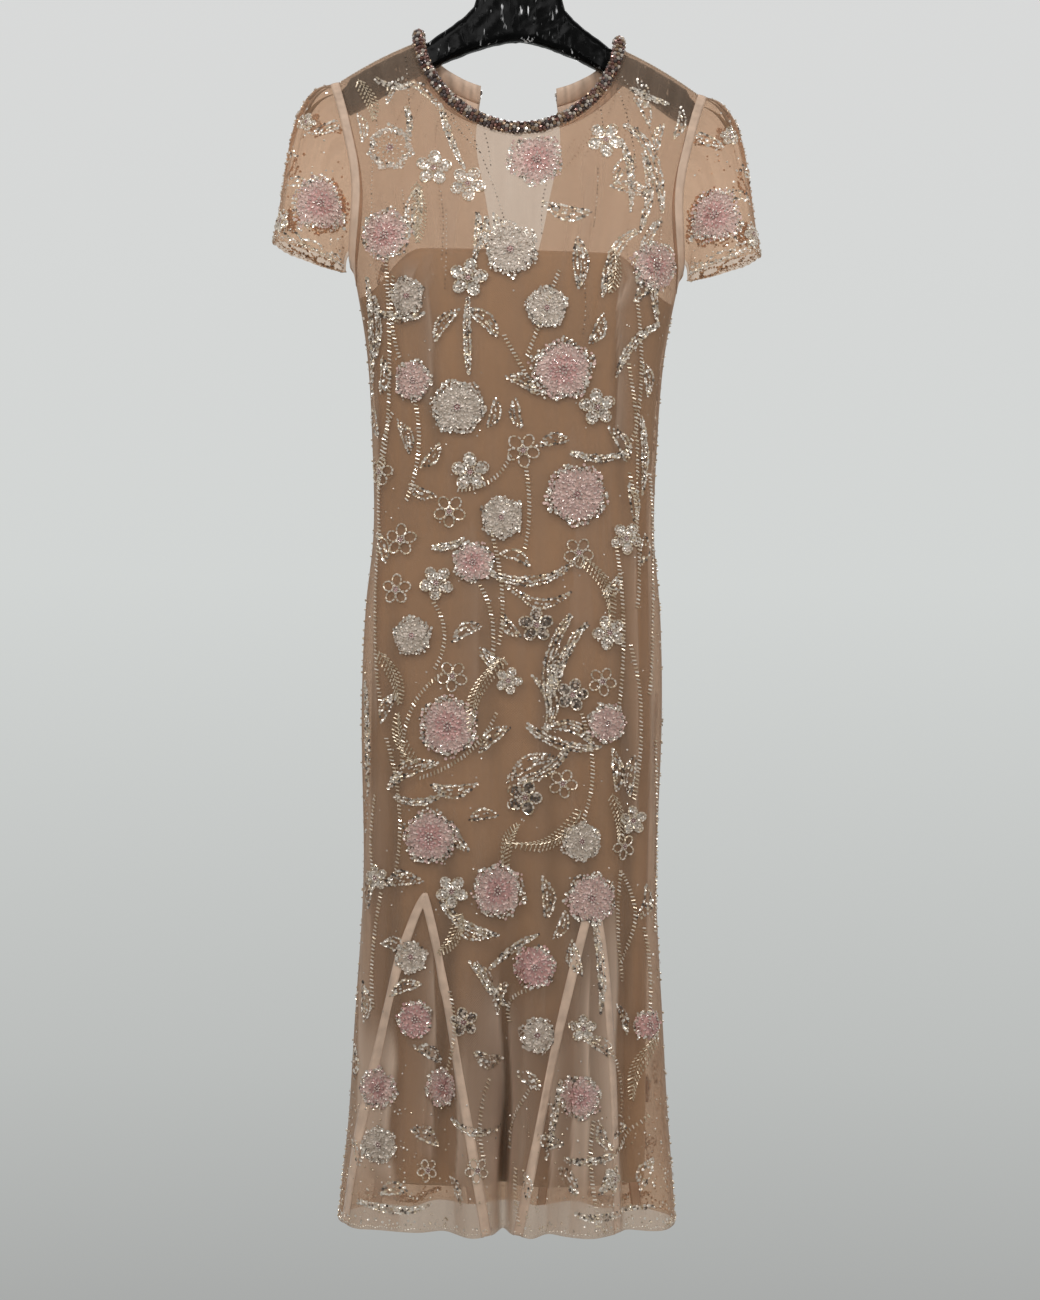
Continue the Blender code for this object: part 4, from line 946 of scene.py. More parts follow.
# ---------------------------------------------------------------- finished pieces
CLOTH_SLOTS = {"sheer_net": "net", "shaded_tuck_net": "net", "slip_crepe": "lining", "ribbon": "tape"}


def finished(bm, name, finish, slot, nodes=()):
    """Turns a bmesh in metres into a piece that rides on the dress and stands for CAD nodes."""
    mesh = bpy.data.meshes.new(name)
    bm.to_mesh(mesh)
    bm.free()
    return placed_piece(mesh, name, finish, slot, nodes)


def placed_piece(mesh, name, finish, slot, nodes=(), smooth=True):
    if smooth:
        mesh.shade_smooth()
    mesh.materials.append(finish)
    piece = bpy.data.objects.new(name, mesh)
    bpy.context.scene.collection.objects.link(piece)
    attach(piece, BODY)
    if nodes:
        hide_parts(*nodes)
    return piece


def cloth(name, patches, finish, nodes, cut, mask=plain_mask, centre_x=0.0, mirrored=False, thin=1.0):
    """A thin cloth shell from grids that meet at their edges. Each grid is (columns, rows, place),
    and place(across, down) gives the point and where it lies in the pattern. The cut, the flat
    width and length in millimetres and the share of them that is cloth, is not used."""
    bm = bmesh.new()
    flat = bm.verts.layers.float_vector.new("flat")
    folds = bm.verts.layers.float_vector.new("folds")
    for columns, rows, place in patches:
        grid = bmesh.ops.create_grid(bm, x_segments=columns, y_segments=rows, size=1.0)
        for vert in grid["verts"]:
            point, pattern = place((vert.co.x + 1) / 2, (1 - vert.co.y) / 2)
            vert.co = leaning(point) * MM
            vert[flat] = pattern * MM
            # the mask tells the finish where to paint shade into valleys and highlight on crests, and
            # where the net lies double
            vert[folds] = mask(point)
    if mirrored:
        for vert in bm.verts:
            vert.co.x = -vert.co.x
            vert.co.z -= 2 * LEAN * lean_share(-vert.co.z / MM) * vert.co.x
    bmesh.ops.remove_doubles(bm, verts=bm.verts, dist=0.02 * MM)
    bmesh.ops.recalc_face_normals(bm, faces=bm.faces)
    facing = 0.0
    for face in bm.faces:
        middle = face.calc_center_median()
        away = Vector((middle.x - centre_x * MM, middle.y, 0.0))
        facing += face.calc_area() * face.normal.dot(away)
    if facing < 0:
        bmesh.ops.reverse_faces(bm, faces=bm.faces)
    uv = bm.loops.layers.uv.new("pattern")
    for face in bm.faces:
        for loop in face.loops:
            loop[uv].uv = loop.vert[flat].xy
    bm.verts.layers.float_vector.remove(flat)
    slot = CLOTH_SLOTS[finish]
    piece = finished(bm, name, finish_of(finish), slot, nodes)
    solidify = piece.modifiers.new("wall", "SOLIDIFY")
    solidify.thickness = (settings().net_wall if slot == "net" else settings().slip_wall) * thin * MM
    solidify.offset = -1.0
    solidify.use_even_offset = False
    width, length, share = cut


# ---------------------------------------------------------------- trims
@functools.lru_cache(maxsize=None)
def trim_shape(kind):
    """Points and triangles of one small trim, one millimetre in radius, lying in XY and facing +Z."""
    bm = bmesh.new()
    if kind == "sequin":
        bmesh.ops.create_circle(bm, cap_ends=True, segments=7, radius=1.0)
        made = bmesh.ops.poke(bm, faces=bm.faces[:])
        made["verts"][0].co.z = -0.22
    elif kind == "bar":
        turn = Matrix.Rotation(math.pi / 2, 4, "Y")
        bmesh.ops.create_cone(
            bm, cap_ends=True, segments=BEAD_SIDES, radius1=1.0, radius2=1.0, depth=2.0, matrix=turn
        )
    elif kind == "gem":
        bmesh.ops.create_uvsphere(bm, u_segments=6, v_segments=4, radius=1.0)
    else:
        bmesh.ops.create_icosphere(bm, subdivisions=1, radius=1.0)
    bmesh.ops.triangulate(bm, faces=bm.faces[:])
    bm.verts.index_update()
    points = np.array([vert.co[:] for vert in bm.verts])
    faces = np.array([[vert.index for vert in face.verts] for face in bm.faces])
    bm.free()
    return points, faces


class Trims:
    """Small trims gathered by finish, then joined into one mesh for each."""

    def __init__(self, seed):
        self.draw = random.Random(seed)
        self.found = {}

    def add(self, finish, kind, point, across, up, scale):
        """One trim at a point: across and up are unit vectors, scale its half sizes in mm, or one
        number for all three."""
        scale = scale if isinstance(scale, tuple) else (scale,) * 3
        side = up.cross(across)
        rows = (across * scale[0], side * scale[1], up * scale[2], point)
        self.found.setdefault(finish, {}).setdefault(kind, []).append(
            [value for row in rows for value in row]
        )

    def joined(self, name, slot):
        """One piece for each finish."""
        for finish, kinds in self.found.items():
            points, faces, tints, count = [], [], [], 0
            for kind, rows in kinds.items():
                shape, triangles = trim_shape(kind)
                frames = np.array(rows).reshape(-1, 4, 3)
                turned_points = np.einsum("pk,nkj->npj", shape, frames[:, :3]) + frames[:, 3:]
                starts = count + np.arange(len(rows)) * len(shape)
                points.append(turned_points.reshape(-1, 3))
                faces.append((triangles[None] + starts[:, None, None]).reshape(-1, 3))
                shades = np.array([self.draw.random() for _ in rows])
                # Painted shade: the lower a trim sits, the more its tint leans to the dark shade, as less
                # light reaches the lower dress.
                low = np.clip((-frames[:, 3, 2] - 450) / 550, 0, 1)
                shades **= 0.5 + 0.7 * low
                tints.append(np.repeat(shades, len(triangles)))
                count += len(rows) * len(shape)
            mesh = bpy.data.meshes.new(name + "_" + finish)
            mesh.from_pydata(np.concatenate(points) * MM, [], np.concatenate(faces))
            shade = mesh.attributes.new("tint", "FLOAT", "FACE")
            shade.data.foreach_set("value", np.concatenate(tints))
            mesh.validate()
            placed_piece(mesh, name + "_" + finish, finish_of(finish), slot, smooth=False)


class Ground:
    """A cloth surface that trims are sewn to, with two coordinates of its own."""

    def __init__(self, surface, steps, mirrored=False):
        self.surface = surface
        self.steps = steps
        self.mirrored = mirrored

    def at(self, a, b):
        point = self.surface(a, b)
        if self.mirrored:
            point = Vector((-point.x, point.y, point.z))
        return leaning(point)

    def spot(self, a, b, u, v):
        """The place u across and v down the cloth from another, reached in two steps, and its frame."""
        for steps_left in (2, 1, 0):
            here = self.at(a, b)
            over = (self.at(a + self.steps[0], b) - here) / self.steps[0]
            under = (self.at(a, b + self.steps[1]) - here) / self.steps[1]
            normal = under.cross(over).normalized()
            if self.mirrored:
                normal.negate()
            right = over.normalized()
            down = right.cross(normal)
            if down.dot(under) < 0:
                down.negate()
            if steps_left:
                change = (v / 2) / under.dot(down)
                b += change
                a += (u / 2 - change * under.dot(right)) / over.length
        return a, b, here, right, down, normal


def on_net(turn, drop):
    """True where the net has cloth for a trim: clear of neck, shoulder, armhole, slit and hem."""
    side = -1 if abs(turn) <= math.pi / 2 else 1
    angle = abs(turn) if side < 0 else math.pi - abs(turn)
    x = section(drop, side)[0] * placed(angle)
    bottom = NECK_BOTTOM[side]
    if drop > HEM_DROP - 1 or drop < ridge_drop(x) + 2:
        return False
    if drop < UNDERARM_DROP and x > along(ARMHOLE_ROWS, drop, 1) - 2.5:
        return False
    if drop < bottom + 14 and x < NECK_HALF_WIDTH + 12:
        high = max(0.0, (drop - ROPE_TOP_DROP) / (bottom - ROPE_TOP_DROP + 12))
        wide = x / (NECK_HALF_WIDTH + 11)
        if high**ROPE_ROUNDNESS + wide**ROPE_ROUNDNESS < 1:
            return False
    return side < 0 or drop > OPENING_ROWS[-1][0] or x > along(OPENING_ROWS, drop, 1) + 3


def on_sleeve(step, share):
    return SLEEVE_START + 0.1 < step < ARMHOLE_ROUND - SLEEVE_START - 0.1 and 0.02 < share < 0.995


def bent(length, heading, bend, count):
    """Shares and places along a bent line, with the way along it and the way aside."""
    way = Vector((math.sin(heading), math.cos(heading)))
    aside = Vector((way.y, -way.x))
    for step in range(count + 1):
        share = step / count
        yield share, way * length * (share - 0.5) + aside * bend * math.sin(math.pi * share), way, aside


class Sewing:
    """Sews motifs to one ground."""

    def __init__(self, ground, allowed, trims, place):
        self.ground = ground
        self.allowed = allowed
        self.trims = trims
        self.place = place
        self.draw = trims.draw

    def one(self, centre, u, v, finish, kind, scale, heading=0.0, lift=0.6, tilt=0.0):
        """One trim u across and v down from a centre, turned to a heading and tilted at random up to
        tilt."""
        a, b, here, right, down, normal = self.ground.spot(*centre, u, v)
        if not self.allowed(a, b):
            return
        across = right * math.cos(heading) + down * math.sin(heading)
        up = normal
        if tilt:
            up = up + right * self.draw.uniform(-tilt, tilt) + down * self.draw.uniform(-tilt, tilt)
        up = up.normalized()
        across = (across - up * across.dot(up)).normalized()
        self.trims.add(finish, kind, here + normal * lift, across, up, scale)

    def glint(self, centre, finish, size, lift, tilt=0.0):
        """One small sequin, or a bead where the finish isn't silver."""
        self.one(centre, 0, 0, finish, "sequin" if finish == "silver" else "bead", size, 0, lift, tilt)

    def flower(self, kind, centre, radius):
        phase = self.draw.uniform(0, math.tau)
        if kind in ("petals", "dark", "outline"):
            self.five_petals(kind, centre, radius, phase)
        else:
            self.round_flower(kind, centre, radius, phase)

    def round_flower(self, kind, centre, radius, phase):
        """A field of small sequins and beads in a scalloped rim of bright sequins."""
        inner, outer, spoke = FLOWER_FINISHES[kind]
        lobes = self.draw.choice((5, 6, 7))
        field = 0.80

        def put(reach, angle, finish, shape, scale, lift, tilt):
            reach *= radius * (1 + 0.07 * reach**2 * math.cos(lobes * (angle - phase)))
            self.one(
                centre, reach * math.cos(angle), reach * math.sin(angle), finish, shape, scale,
                angle + self.draw.uniform(-0.3, 0.3), lift, tilt,
            )

        count = round(1.3 * (radius * field / 1.9) ** 2) if outer else 0
        for step in range(count):
            share = math.sqrt((step + 0.5) / count)
            size = self.draw.uniform(1.8, 2.6)
            own = inner if share < 0.6 else outer
            lift = 0.8 + 0.5 * self.draw.random()
            put(field * share, phase + GOLDEN_TURN * step, own, "sequin", size, lift, 0.25)
        count = round(0.5 * (radius * field / 1.9) ** 2)
        for step in range(3, count):
            share = math.sqrt((step + 0.5) / count)
            size = self.draw.uniform(0.55, 0.85)
            long = (1.6 * size, size, size)
            put((field + 0.06) * share, phase - GOLDEN_TURN * step, spoke, "bar", long, 1.9, 0.4)
        for share, size, lift in ((0.80, 1.5, 1.0), (0.88, 1.7, 1.3), (0.96, 1.7, 1.5)):
            count = round(math.tau * radius * share / (1.55 * size))
            for step in range(count):
                angle = phase + math.tau * (step + self.draw.uniform(-0.3, 0.3)) / count
                own = self.draw.choices(("silver", outer or "pearl", "crystal", "smoke"), RIM_MIX)[0]
                grown = size * self.draw.uniform(0.7, 1.2)
                put(share + self.draw.uniform(-0.07, 0.07), angle, own, "sequin", grown, lift, 0.55)
        self.eye(centre, 0.13 * radius, 1.3 if radius > 22 else 1.05)

    def eye(self, centre, reach, size):
        """A bead in a ring of pale beads."""
        self.one(centre, 0, 0, "pearl_bead", "bead", size, 0, 2.6)
        rings = (  # count, reach, first angle, finish, shape, lift
            (6, 1.6 * size, 0.5, "bead_rose", "sequin", 2.0),
            (7, max(reach, 2.9 * size), 0.0, "pearl_bead", "bead", 2.6),
        )
        for count, out, first, finish, shape, lift in rings:
            for step in range(count):
                angle = math.tau * step / count
                u, v = out * math.cos(angle + first), out * math.sin(angle + first)
                self.one(centre, u, v, finish, shape, size, angle, lift)

    def five_petals(self, kind, centre, radius, phase):
        """Five petals, each a loop of bars and filled with sequins unless it is only outlined."""
        edge = {"petals": "silver", "dark": "smoke", "outline": "crystal"}[kind]
        for petal in range(5):
            heading = phase + math.tau * petal / 5
            out = Vector((math.cos(heading), math.sin(heading)))
            aside = Vector((-out.y, out.x))
            middle = out * radius * 0.6
            long, wide = radius * 0.38, radius * 0.31
            if kind != "outline":
                for step in range(8):
                    angle = math.tau * step / 7
                    near = 0.6 if step < 7 else 0.0
                    at = middle + out * near * long * math.cos(angle)
                    at += aside * near * wide * math.sin(angle)
                    size = radius * 0.105 * self.draw.uniform(0.85, 1.2)
                    own = edge if self.draw.random() < 0.8 else "pearl"
                    self.one(centre, at.x, at.y, own, "sequin", size, angle, 0.9, 0.5)
            for step in range(9):
                angle = math.tau * step / 9
                at = middle + out * long * math.cos(angle) + aside * wide * math.sin(angle)
                run = -out * long * math.sin(angle) + aside * wide * math.cos(angle)
                half = 0.40 * math.tau * (long + wide) / 2 / 9
                own = "crystal" if self.draw.random() < 0.7 else "gold"
                bar = (half, 1.0, 1.0)
                self.one(centre, at.x, at.y, own, "bar", bar, math.atan2(run.y, run.x), 1.1, 0.4)
        self.eye(centre, 0.12 * radius, 0.95)

    def seed(self, centre, u, v, heading):
        """One of the loosely strewn small sequins of a leaf or a band."""
        size = self.draw.uniform(1.15, 1.95)
        own = self.draw.choices(("silver", "crystal", "gold", "smoke"), LEAF_MIX)[0]
        u += self.draw.uniform(-0.5, 0.5)
        v += self.draw.uniform(-0.5, 0.5)
        heading += self.draw.uniform(-0.6, 0.6)
        self.one(centre, u, v, own, "sequin", (size * 1.15, size * 0.9, size), heading, 0.8, 0.65)

    def leaf(self, centre, length, width, heading, bend):
        """Small sequins strewn in rows that meet at both ends."""
        rows = max(2, round(width / 2.9))
        for share, spine, way, aside in bent(length, heading, bend, max(6, round(length / 2.9))):
            half = width / 2 * math.sin(math.pi * share) ** 0.75
            for row in range(rows):
                inside = 0 < row < rows - 1
                if (half < 0.8 and row) or (inside and (half < 2.2 or self.draw.random() < 0.3)):
                    continue
                off = half * (2 * row / (rows - 1) - 1)
                at = spine + aside * off + way * (1.4 if row % 2 else 0.0)
                self.seed(centre, at.x, at.y, math.atan2(way.y, way.x))

    def fern(self, centre, length, heading, bend):
        """A stem with pairs of long gold beads."""
        for share, spine, way, aside in bent(length, heading, bend, round(length / 4.2)):
            reach = 2.2 + 6.6 * math.sin(math.pi * min(1.0, 0.22 + 0.78 * share)) ** 0.8
            for sign in (-1, 1):
                side_way = (way * 0.72 - aside * -sign * 0.70).normalized()
                slant = math.atan2(side_way.y, side_way.x)
                for part in (0.42, 1.0):
                    at = spine + side_way * reach * part * 0.95
                    self.one(centre, at.x, at.y, "gold", "bar", (1.5, 0.85, 0.85), slant, 0.9, 0.16)
            run = math.atan2(way.y, way.x)
            self.one(centre, spine.x, spine.y, "gold", "bar", (1.5, 0.6, 0.6), run, 0.9, 0.1)

    def path(self, line, spacing):
        """Centres and headings at even steps along a curve given by x and drop at three places."""
        start, bend, end = line[0:2], line[2:4], line[4:6]
        points = [Vector((*curve_point(start, bend, end, part / 24), 0.0)) for part in range(25)]
        even = evenly(points, spacing)
        for index, point in enumerate(even):
            ahead = even[min(len(even) - 1, index + 1)] - even[max(0, index - 1)]
            share = index / max(1, len(even) - 1)
            yield self.place(point.x, point.y), math.atan2(ahead.y, ahead.x), share

    def stem(self, line):
        """A ladder of short bars laid across a line."""
        for centre, run, _ in self.path(line, 4.0):
            half = self.draw.uniform(1.8, 2.3)
            slant = run + math.pi / 2 + 0.3 + self.draw.uniform(-0.15, 0.15)
            own = "crystal" if self.draw.random() < 0.6 else "gold"
            self.one(centre, 0, 0, own, "bar", (half, 0.9, 0.9), slant, 1.1, 0.3)

    def dots(self, line):
        for centre, run, _ in self.path(line, 4.6):
            own = "smoke" if self.draw.random() < 0.5 else "crystal"
            self.one(centre, 0, 0, own, "bead", 0.85, run, 0.7)

    def chain(self, line):
        """A band of small sequins that swells in the middle."""
        width = line[6]
        for centre, run, share in self.path(line, 2.5):
            half = width / 2 * math.sin(math.pi * min(1.0, 0.08 + 0.92 * share)) ** 0.6
            for sign in (-1, 0, 1) if half > 1.8 else (-1, 1):
                off = half * (sign + self.draw.uniform(-0.2, 0.2))
                self.seed(centre, -math.sin(run) * off, math.cos(run) * off, run)


# ---------------------------------------------------------------- materials
def settings():
    return bpy.context.scene.dress_looks


def fresh_material(name):
    made = bpy.data.materials.new(name)
    made.use_nodes = True
    tree = made.node_tree
    return made, tree, tree.nodes["Principled BSDF"]


def feed(tree, made, **inputs):
    """Sets a node's inputs, or links them where a socket is given. i0, i1 and so on go by number, and
    in a name an underscore stands for a space."""
    for key, value in inputs.items():
        index = int(key[1:]) if key[0] == "i" and key[1:].isdigit() else key.replace("_", " ")
        if isinstance(value, bpy.types.NodeSocket):
            tree.links.new(value, made.inputs[index])
        else:
            made.inputs[index].default_value = value
    return made


def node(tree, kind, options=None, **inputs):
    """A node with its options and inputs."""
    made = tree.nodes.new(kind)
    for key, value in (options or {}).items():
        setattr(made, key, value)
    return feed(tree, made, **inputs)


def math_node(tree, operation, first, second=0.0):
    return node(tree, "ShaderNodeMath", {"operation": operation}, i0=first, i1=second).outputs[0]


def ranged(tree, value, low, high, to_low=0.0, to_high=1.0):
    """A value carried over from one range to another."""
    return node(
        tree, "ShaderNodeMapRange", i0=value, i1=low, i2=high, i3=to_low, i4=to_high
    ).outputs[0]


def noisy(tree, place, scale, detail, roughness=0.5):
    return node(
        tree, "ShaderNodeTexNoise", Vector=place, Scale=scale, Detail=detail, Roughness=roughness
    ).outputs[0]


def blended(tree, share, first, second):
    """A colour between two others."""
    return node(tree, "ShaderNodeMix", {"data_type": "RGBA"}, i0=share, i6=first, i7=second).outputs[2]


def stretched(tree, place, **inputs):
    return node(tree, "ShaderNodeMapping", Vector=place, **inputs).outputs[0]


def shared_group(name, inputs, outputs, fill):
    """A shader node group, built once. Inputs are given with their defaults, a vector's being None,
    outputs with their kinds, and fill(tree, given) makes the nodes and gives each output's socket."""
    if name in bpy.data.node_groups:
        return bpy.data.node_groups[name]
    kinds = {type(None): "NodeSocketVector", float: "NodeSocketFloat", tuple: "NodeSocketColor"}
    tree = bpy.data.node_groups.new(name, "ShaderNodeTree")
    for label, value in inputs.items():
        socket = tree.interface.new_socket(name=label, in_out="INPUT", socket_type=kinds[type(value)])
        if value is not None:
            socket.default_value = value
    for label, kind in outputs.items():
        tree.interface.new_socket(name=label, in_out="OUTPUT", socket_type=kind)
    result = tree.nodes.new("NodeGroupOutput")
    for label, socket in fill(tree, tree.nodes.new("NodeGroupInput").outputs).items():
        tree.links.new(socket, result.inputs[label])
    return tree


def weave_group():
    """Two crossed sets of threads: a mask of the threads and an uneven height for a bump."""
    def fill(tree, given):
        split = node(tree, "ShaderNodeSeparateXYZ", Vector=given["Vector"])
        slanted = math_node(tree, "MULTIPLY", split.outputs[1], given["Slant"])
        falling = math_node(tree, "SUBTRACT", split.outputs[0], slanted)
        falling = math_node(tree, "ADD", falling, math_node(tree, "MULTIPLY", split.outputs[1], 2e-4))
        waves = []
        for across in (math_node(tree, "ADD", split.outputs[0], slanted), falling):
            phase = math_node(tree, "MULTIPLY", across, given["Threads Per Metre"])
            waves.append(math_node(tree, "COSINE", math_node(tree, "MULTIPLY", phase, math.tau)))
        higher = math_node(tree, "MAXIMUM", *waves)
        fibre = math_node(tree, "MULTIPLY", noisy(tree, given["Vector"], 900.0, 2.0), 0.4)
        height = math_node(tree, "ADD", higher, fibre)
        return {"Threads": ranged(tree, higher, 0.35, 0.95), "Height": height}

    inputs = {"Vector": None, "Threads Per Metre": 700.0, "Slant": 1.0}
    outputs = {"Threads": "NodeSocketFloat", "Height": "NodeSocketFloat"}
    return shared_group("Weave", inputs, outputs, fill)


def mottle_group():
    """A colour that drifts between two shades, as dyed cloth and moulded plastic do."""
    def fill(tree, given):
        drift = noisy(tree, given["Vector"], given["Patches Per Metre"], 3.0, 0.55)
        mask = ranged(tree, drift, 0.3, 0.7)
        return {"Colour": blended(tree, mask, given["Light Shade"], given["Dark Shade"]), "Mask": mask}

    inputs = {
        "Vector": None, "Light Shade": shade((0.5,) * 3), "Dark Shade": shade((0.4,) * 3),
        "Patches Per Metre": 20.0,
    }
    return shared_group("Mottle", inputs, {"Colour": "NodeSocketColor", "Mask": "NodeSocketFloat"}, fill)


def fold_shading_group():
    """A cloth's colour with painted light: painted shade deeper down in the valleys of its folds,
    a painted highlight along their crests, and paler where the net lies double.
    """
    def fill(tree, given):
        mask = node(tree, "ShaderNodeAttribute", {"attribute_name": "folds"})
        split = node(tree, "ShaderNodeSeparateXYZ", Vector=mask.outputs["Vector"])
        veil, valley_shade, crest_highlight = split.outputs[0], split.outputs[1], split.outputs[2]
        low = math_node(tree, "MULTIPLY", valley_shade, given["Depth"])
        high = math_node(tree, "MULTIPLY", crest_highlight, math_node(tree, "MULTIPLY", given["Depth"], 0.3))
        painted_light_level = math_node(tree, "ADD", math_node(tree, "SUBTRACT", 1.0, low), high)
        painted_light_level = math_node(tree, "ADD", painted_light_level, math_node(tree, "MULTIPLY", veil, 0.9))
        held = node(tree, "ShaderNodeClamp", Value=painted_light_level, Min=0.22, Max=1.6).outputs[0]
        scaled = {"operation": "SCALE"}
        grown = node(tree, "ShaderNodeVectorMath", scaled, i0=given["Colour"], Scale=held)
        return {"Colour": grown.outputs[0], "Veil": veil}

    inputs = {"Colour": shade((0.5,) * 3), "Depth": 0.5}
    return shared_group("Painted Fold Shade", inputs, {"Colour": "NodeSocketColor", "Veil": "NodeSocketFloat"}, fill)


def sparkle_group():
    """A shade that differs at random from one sequin or bead to the next, with painted shade making the
    lower ones darker, and a finely uneven polish.
    """
    def fill(tree, given):
        own = node(tree, "ShaderNodeAttribute", {"attribute_name": "tint"}).outputs["Fac"]
        grain = ranged(tree, noisy(tree, given["Vector"], 900.0, 1.0), 0.2, 0.8, 0.6, 1.5)
        return {
            "Colour": blended(tree, own, given["Dark Shade"], given["Light Shade"]),
            "Roughness": math_node(tree, "MULTIPLY", grain, given["Roughness"]),
        }

    inputs = {
        "Vector": None, "Light Shade": shade((0.9,) * 3), "Dark Shade": shade((0.5,) * 3),
        "Roughness": 0.2,
    }
    outputs = {"Colour": "NodeSocketColor", "Roughness": "NodeSocketFloat"}
    return shared_group("Sparkle", inputs, outputs, fill)


def group_node(tree, group, **inputs):
    made = tree.nodes.new("ShaderNodeGroup")
    made.node_tree = group
    return feed(tree, made, **inputs)


def mottled(tree, place, light, dark, patches):
    return group_node(
        tree, mottle_group(), Vector=place, Light_Shade=light, Dark_Shade=dark,
        Patches_Per_Metre=patches,
    )


def shade(colour, factor=1.0):
    return (*(min(1.0, channel * factor) for channel in colour), 1.0)


def pattern_vector(tree):
    return node(tree, "ShaderNodeUVMap", {"uv_map": "pattern"}).outputs[0]


def object_vector(tree):
    return node(tree, "ShaderNodeTexCoord").outputs["Object"]


def woven(name, colour, dark, threads, slant, roughness, bump, sheen, patches=9.0, depth=0.5):
    """A cloth finish on a piece's own pattern: drifting colour, threads in relief, a sheen, and
    painted light from the piece's 'folds' attribute: painted shade in valleys and a painted
    highlight on crests, as strong as depth.
    """
    made, tree, shader = fresh_material(name)
    pattern = pattern_vector(tree)
    weave = group_node(tree, weave_group(), Vector=pattern, Threads_Per_Metre=threads, Slant=slant)
    mottle = mottled(tree, pattern, shade(colour), shade(colour, dark), patches)
    relief = node(
        tree, "ShaderNodeBump", Strength=bump, Distance=0.0003, Height=weave.outputs["Height"]
    )
    folds = group_node(tree, fold_shading_group(), Colour=mottle.outputs["Colour"], Depth=depth)
    feed(
        tree, shader, Base_Color=folds.outputs["Colour"], Normal=relief.outputs[0],
        Roughness=roughness, Sheen_Weight=sheen, Sheen_Roughness=0.4,
    )
    return made, tree, shader, weave, folds


def net_finish():
    """Sheer net: mostly open between its threads, and lit through from behind."""
    looks = settings()
    made, tree, shader, weave, folds = woven(
        "sheer_net", looks.net_colour, 0.9, 620.0, 1.0, 0.75, 0.12, 0.04, depth=0.35,
    )
    openness = ranged(tree, weave.outputs["Threads"], 0.0, 1.0, looks.net_hole, looks.net_thread)
    drawn = stretched(tree, pattern_vector(tree), Scale=(1.0, 0.05, 1.0))
    bunched = ranged(tree, noisy(tree, drawn, 70.0, 3.0, 0.6), 0.35, 0.75, -0.03, 0.08)
    edge = node(tree, "ShaderNodeLayerWeight", Blend=0.5)
    steep = math_node(tree, "POWER", edge.outputs["Facing"], 3.0)
    dense = math_node(tree, "MULTIPLY", steep, 0.55)
    layered = math_node(tree, "ADD", openness, bunched)
    layered = math_node(tree, "ADD", layered, folds.outputs["Veil"])
    cover = node(tree, "ShaderNodeMath", {"operation": "ADD", "use_clamp": True}, i0=layered, i1=dense)
    through = node(tree, "ShaderNodeBsdfTranslucent", Color=shade(looks.net_glow))
    clear = node(tree, "ShaderNodeBsdfTransparent", Color=shade(looks.net_tint))
    threads = node(tree, "ShaderNodeMixShader", i0=0.4, i1=shader.outputs[0], i2=through.outputs[0])
    whole = node(
        tree, "ShaderNodeMixShader", i0=cover.outputs[0], i1=clear.outputs[0], i2=threads.outputs[0]
    )
    feed(tree, tree.nodes["Material Output"], Surface=whole.outputs[0])
    return made


def slip_finish():
    # Painted shade in the slip's fold valleys and painted highlight on its crests, at depth 0.8.
    return woven("slip_crepe", settings().slip_colour, 0.80, 1400.0, 0.0, 0.5, 0.05, 0.1, 6.0, 0.8)[0]


def shaded_tuck_finish():
    """Net folded several times over, in painted shade: the slip's colour darkened, for layers that lie
    in shadow.
    """
    brown = shade(settings().slip_colour, 0.62)[:3]
    return woven("shaded_tuck_net", brown, 0.7, 620.0, 1.0, 0.7, 0.1, 0.0, 30.0)[0]


def tape_finish():
    return woven("ribbon", settings().tape_colour, 0.72, 1100.0, 0.6, 0.6, 0.15, 0.2, 55.0)[0]


def sparkle(name, light, dark, roughness, metallic, coat):
    """A sequin or bead finish."""
    made, tree, shader = fresh_material(name)
    look = group_node(
        tree, sparkle_group(), Vector=object_vector(tree), Light_Shade=shade(light),
        Dark_Shade=shade(dark), Roughness=roughness,
    )
    feed(
        tree, shader, Base_Color=look.outputs["Colour"], Roughness=look.outputs["Roughness"],
        Metallic=metallic, Coat_Weight=coat, Coat_Roughness=0.06,
    )
    return made


def finish_of(name):
    """The finish with this name, made when it is first asked for."""
    if name in bpy.data.materials:
        return bpy.data.materials[name]
    looks = settings()
    sparkles = {  # light shade, dark shade, roughness, metallic, coat
        "silver": (looks.silver_colour, (0.54, 0.45, 0.36), 0.15, 0.5, 0.5),
        "smoke": ((0.30, 0.24, 0.19), (0.10, 0.075, 0.06), 0.22, 0.6, 0.5),
        "pearl": ((0.68, 0.57, 0.48), (0.46, 0.37, 0.29), 0.3, 0.1, 0.3),
        "pink": (looks.pink_colour, (0.52, 0.34, 0.30), 0.32, 0.08, 0.3),
        "rose": (looks.rose_colour, (0.46, 0.25, 0.23), 0.32, 0.08, 0.3),
        "crystal": ((0.98, 0.90, 0.79), (0.62, 0.51, 0.39), 0.12, 0.4, 0.5),
        "gold": (looks.gold_colour, (0.50, 0.39, 0.26), 0.2, 0.45, 0.4),
        "bead_rose": ((0.45, 0.24, 0.22), (0.2, 0.1, 0.09), 0.2, 0.3, 0.6),
        "pearl_bead": ((0.78, 0.66, 0.58), (0.56, 0.43, 0.37), 0.2, 0.25, 0.6),
    }
    if name in sparkles:
        return sparkle(name, *sparkles[name])
    return {
        "sheer_net": net_finish,
        "slip_crepe": slip_finish,
        "ribbon": tape_finish,
        "shaded_tuck_net": shaded_tuck_finish,
        "rope_gem": rope_finish,
        "rope_core": rope_core_finish,
        "film": film_finish,
        "steel": steel_finish,
    }[name]()


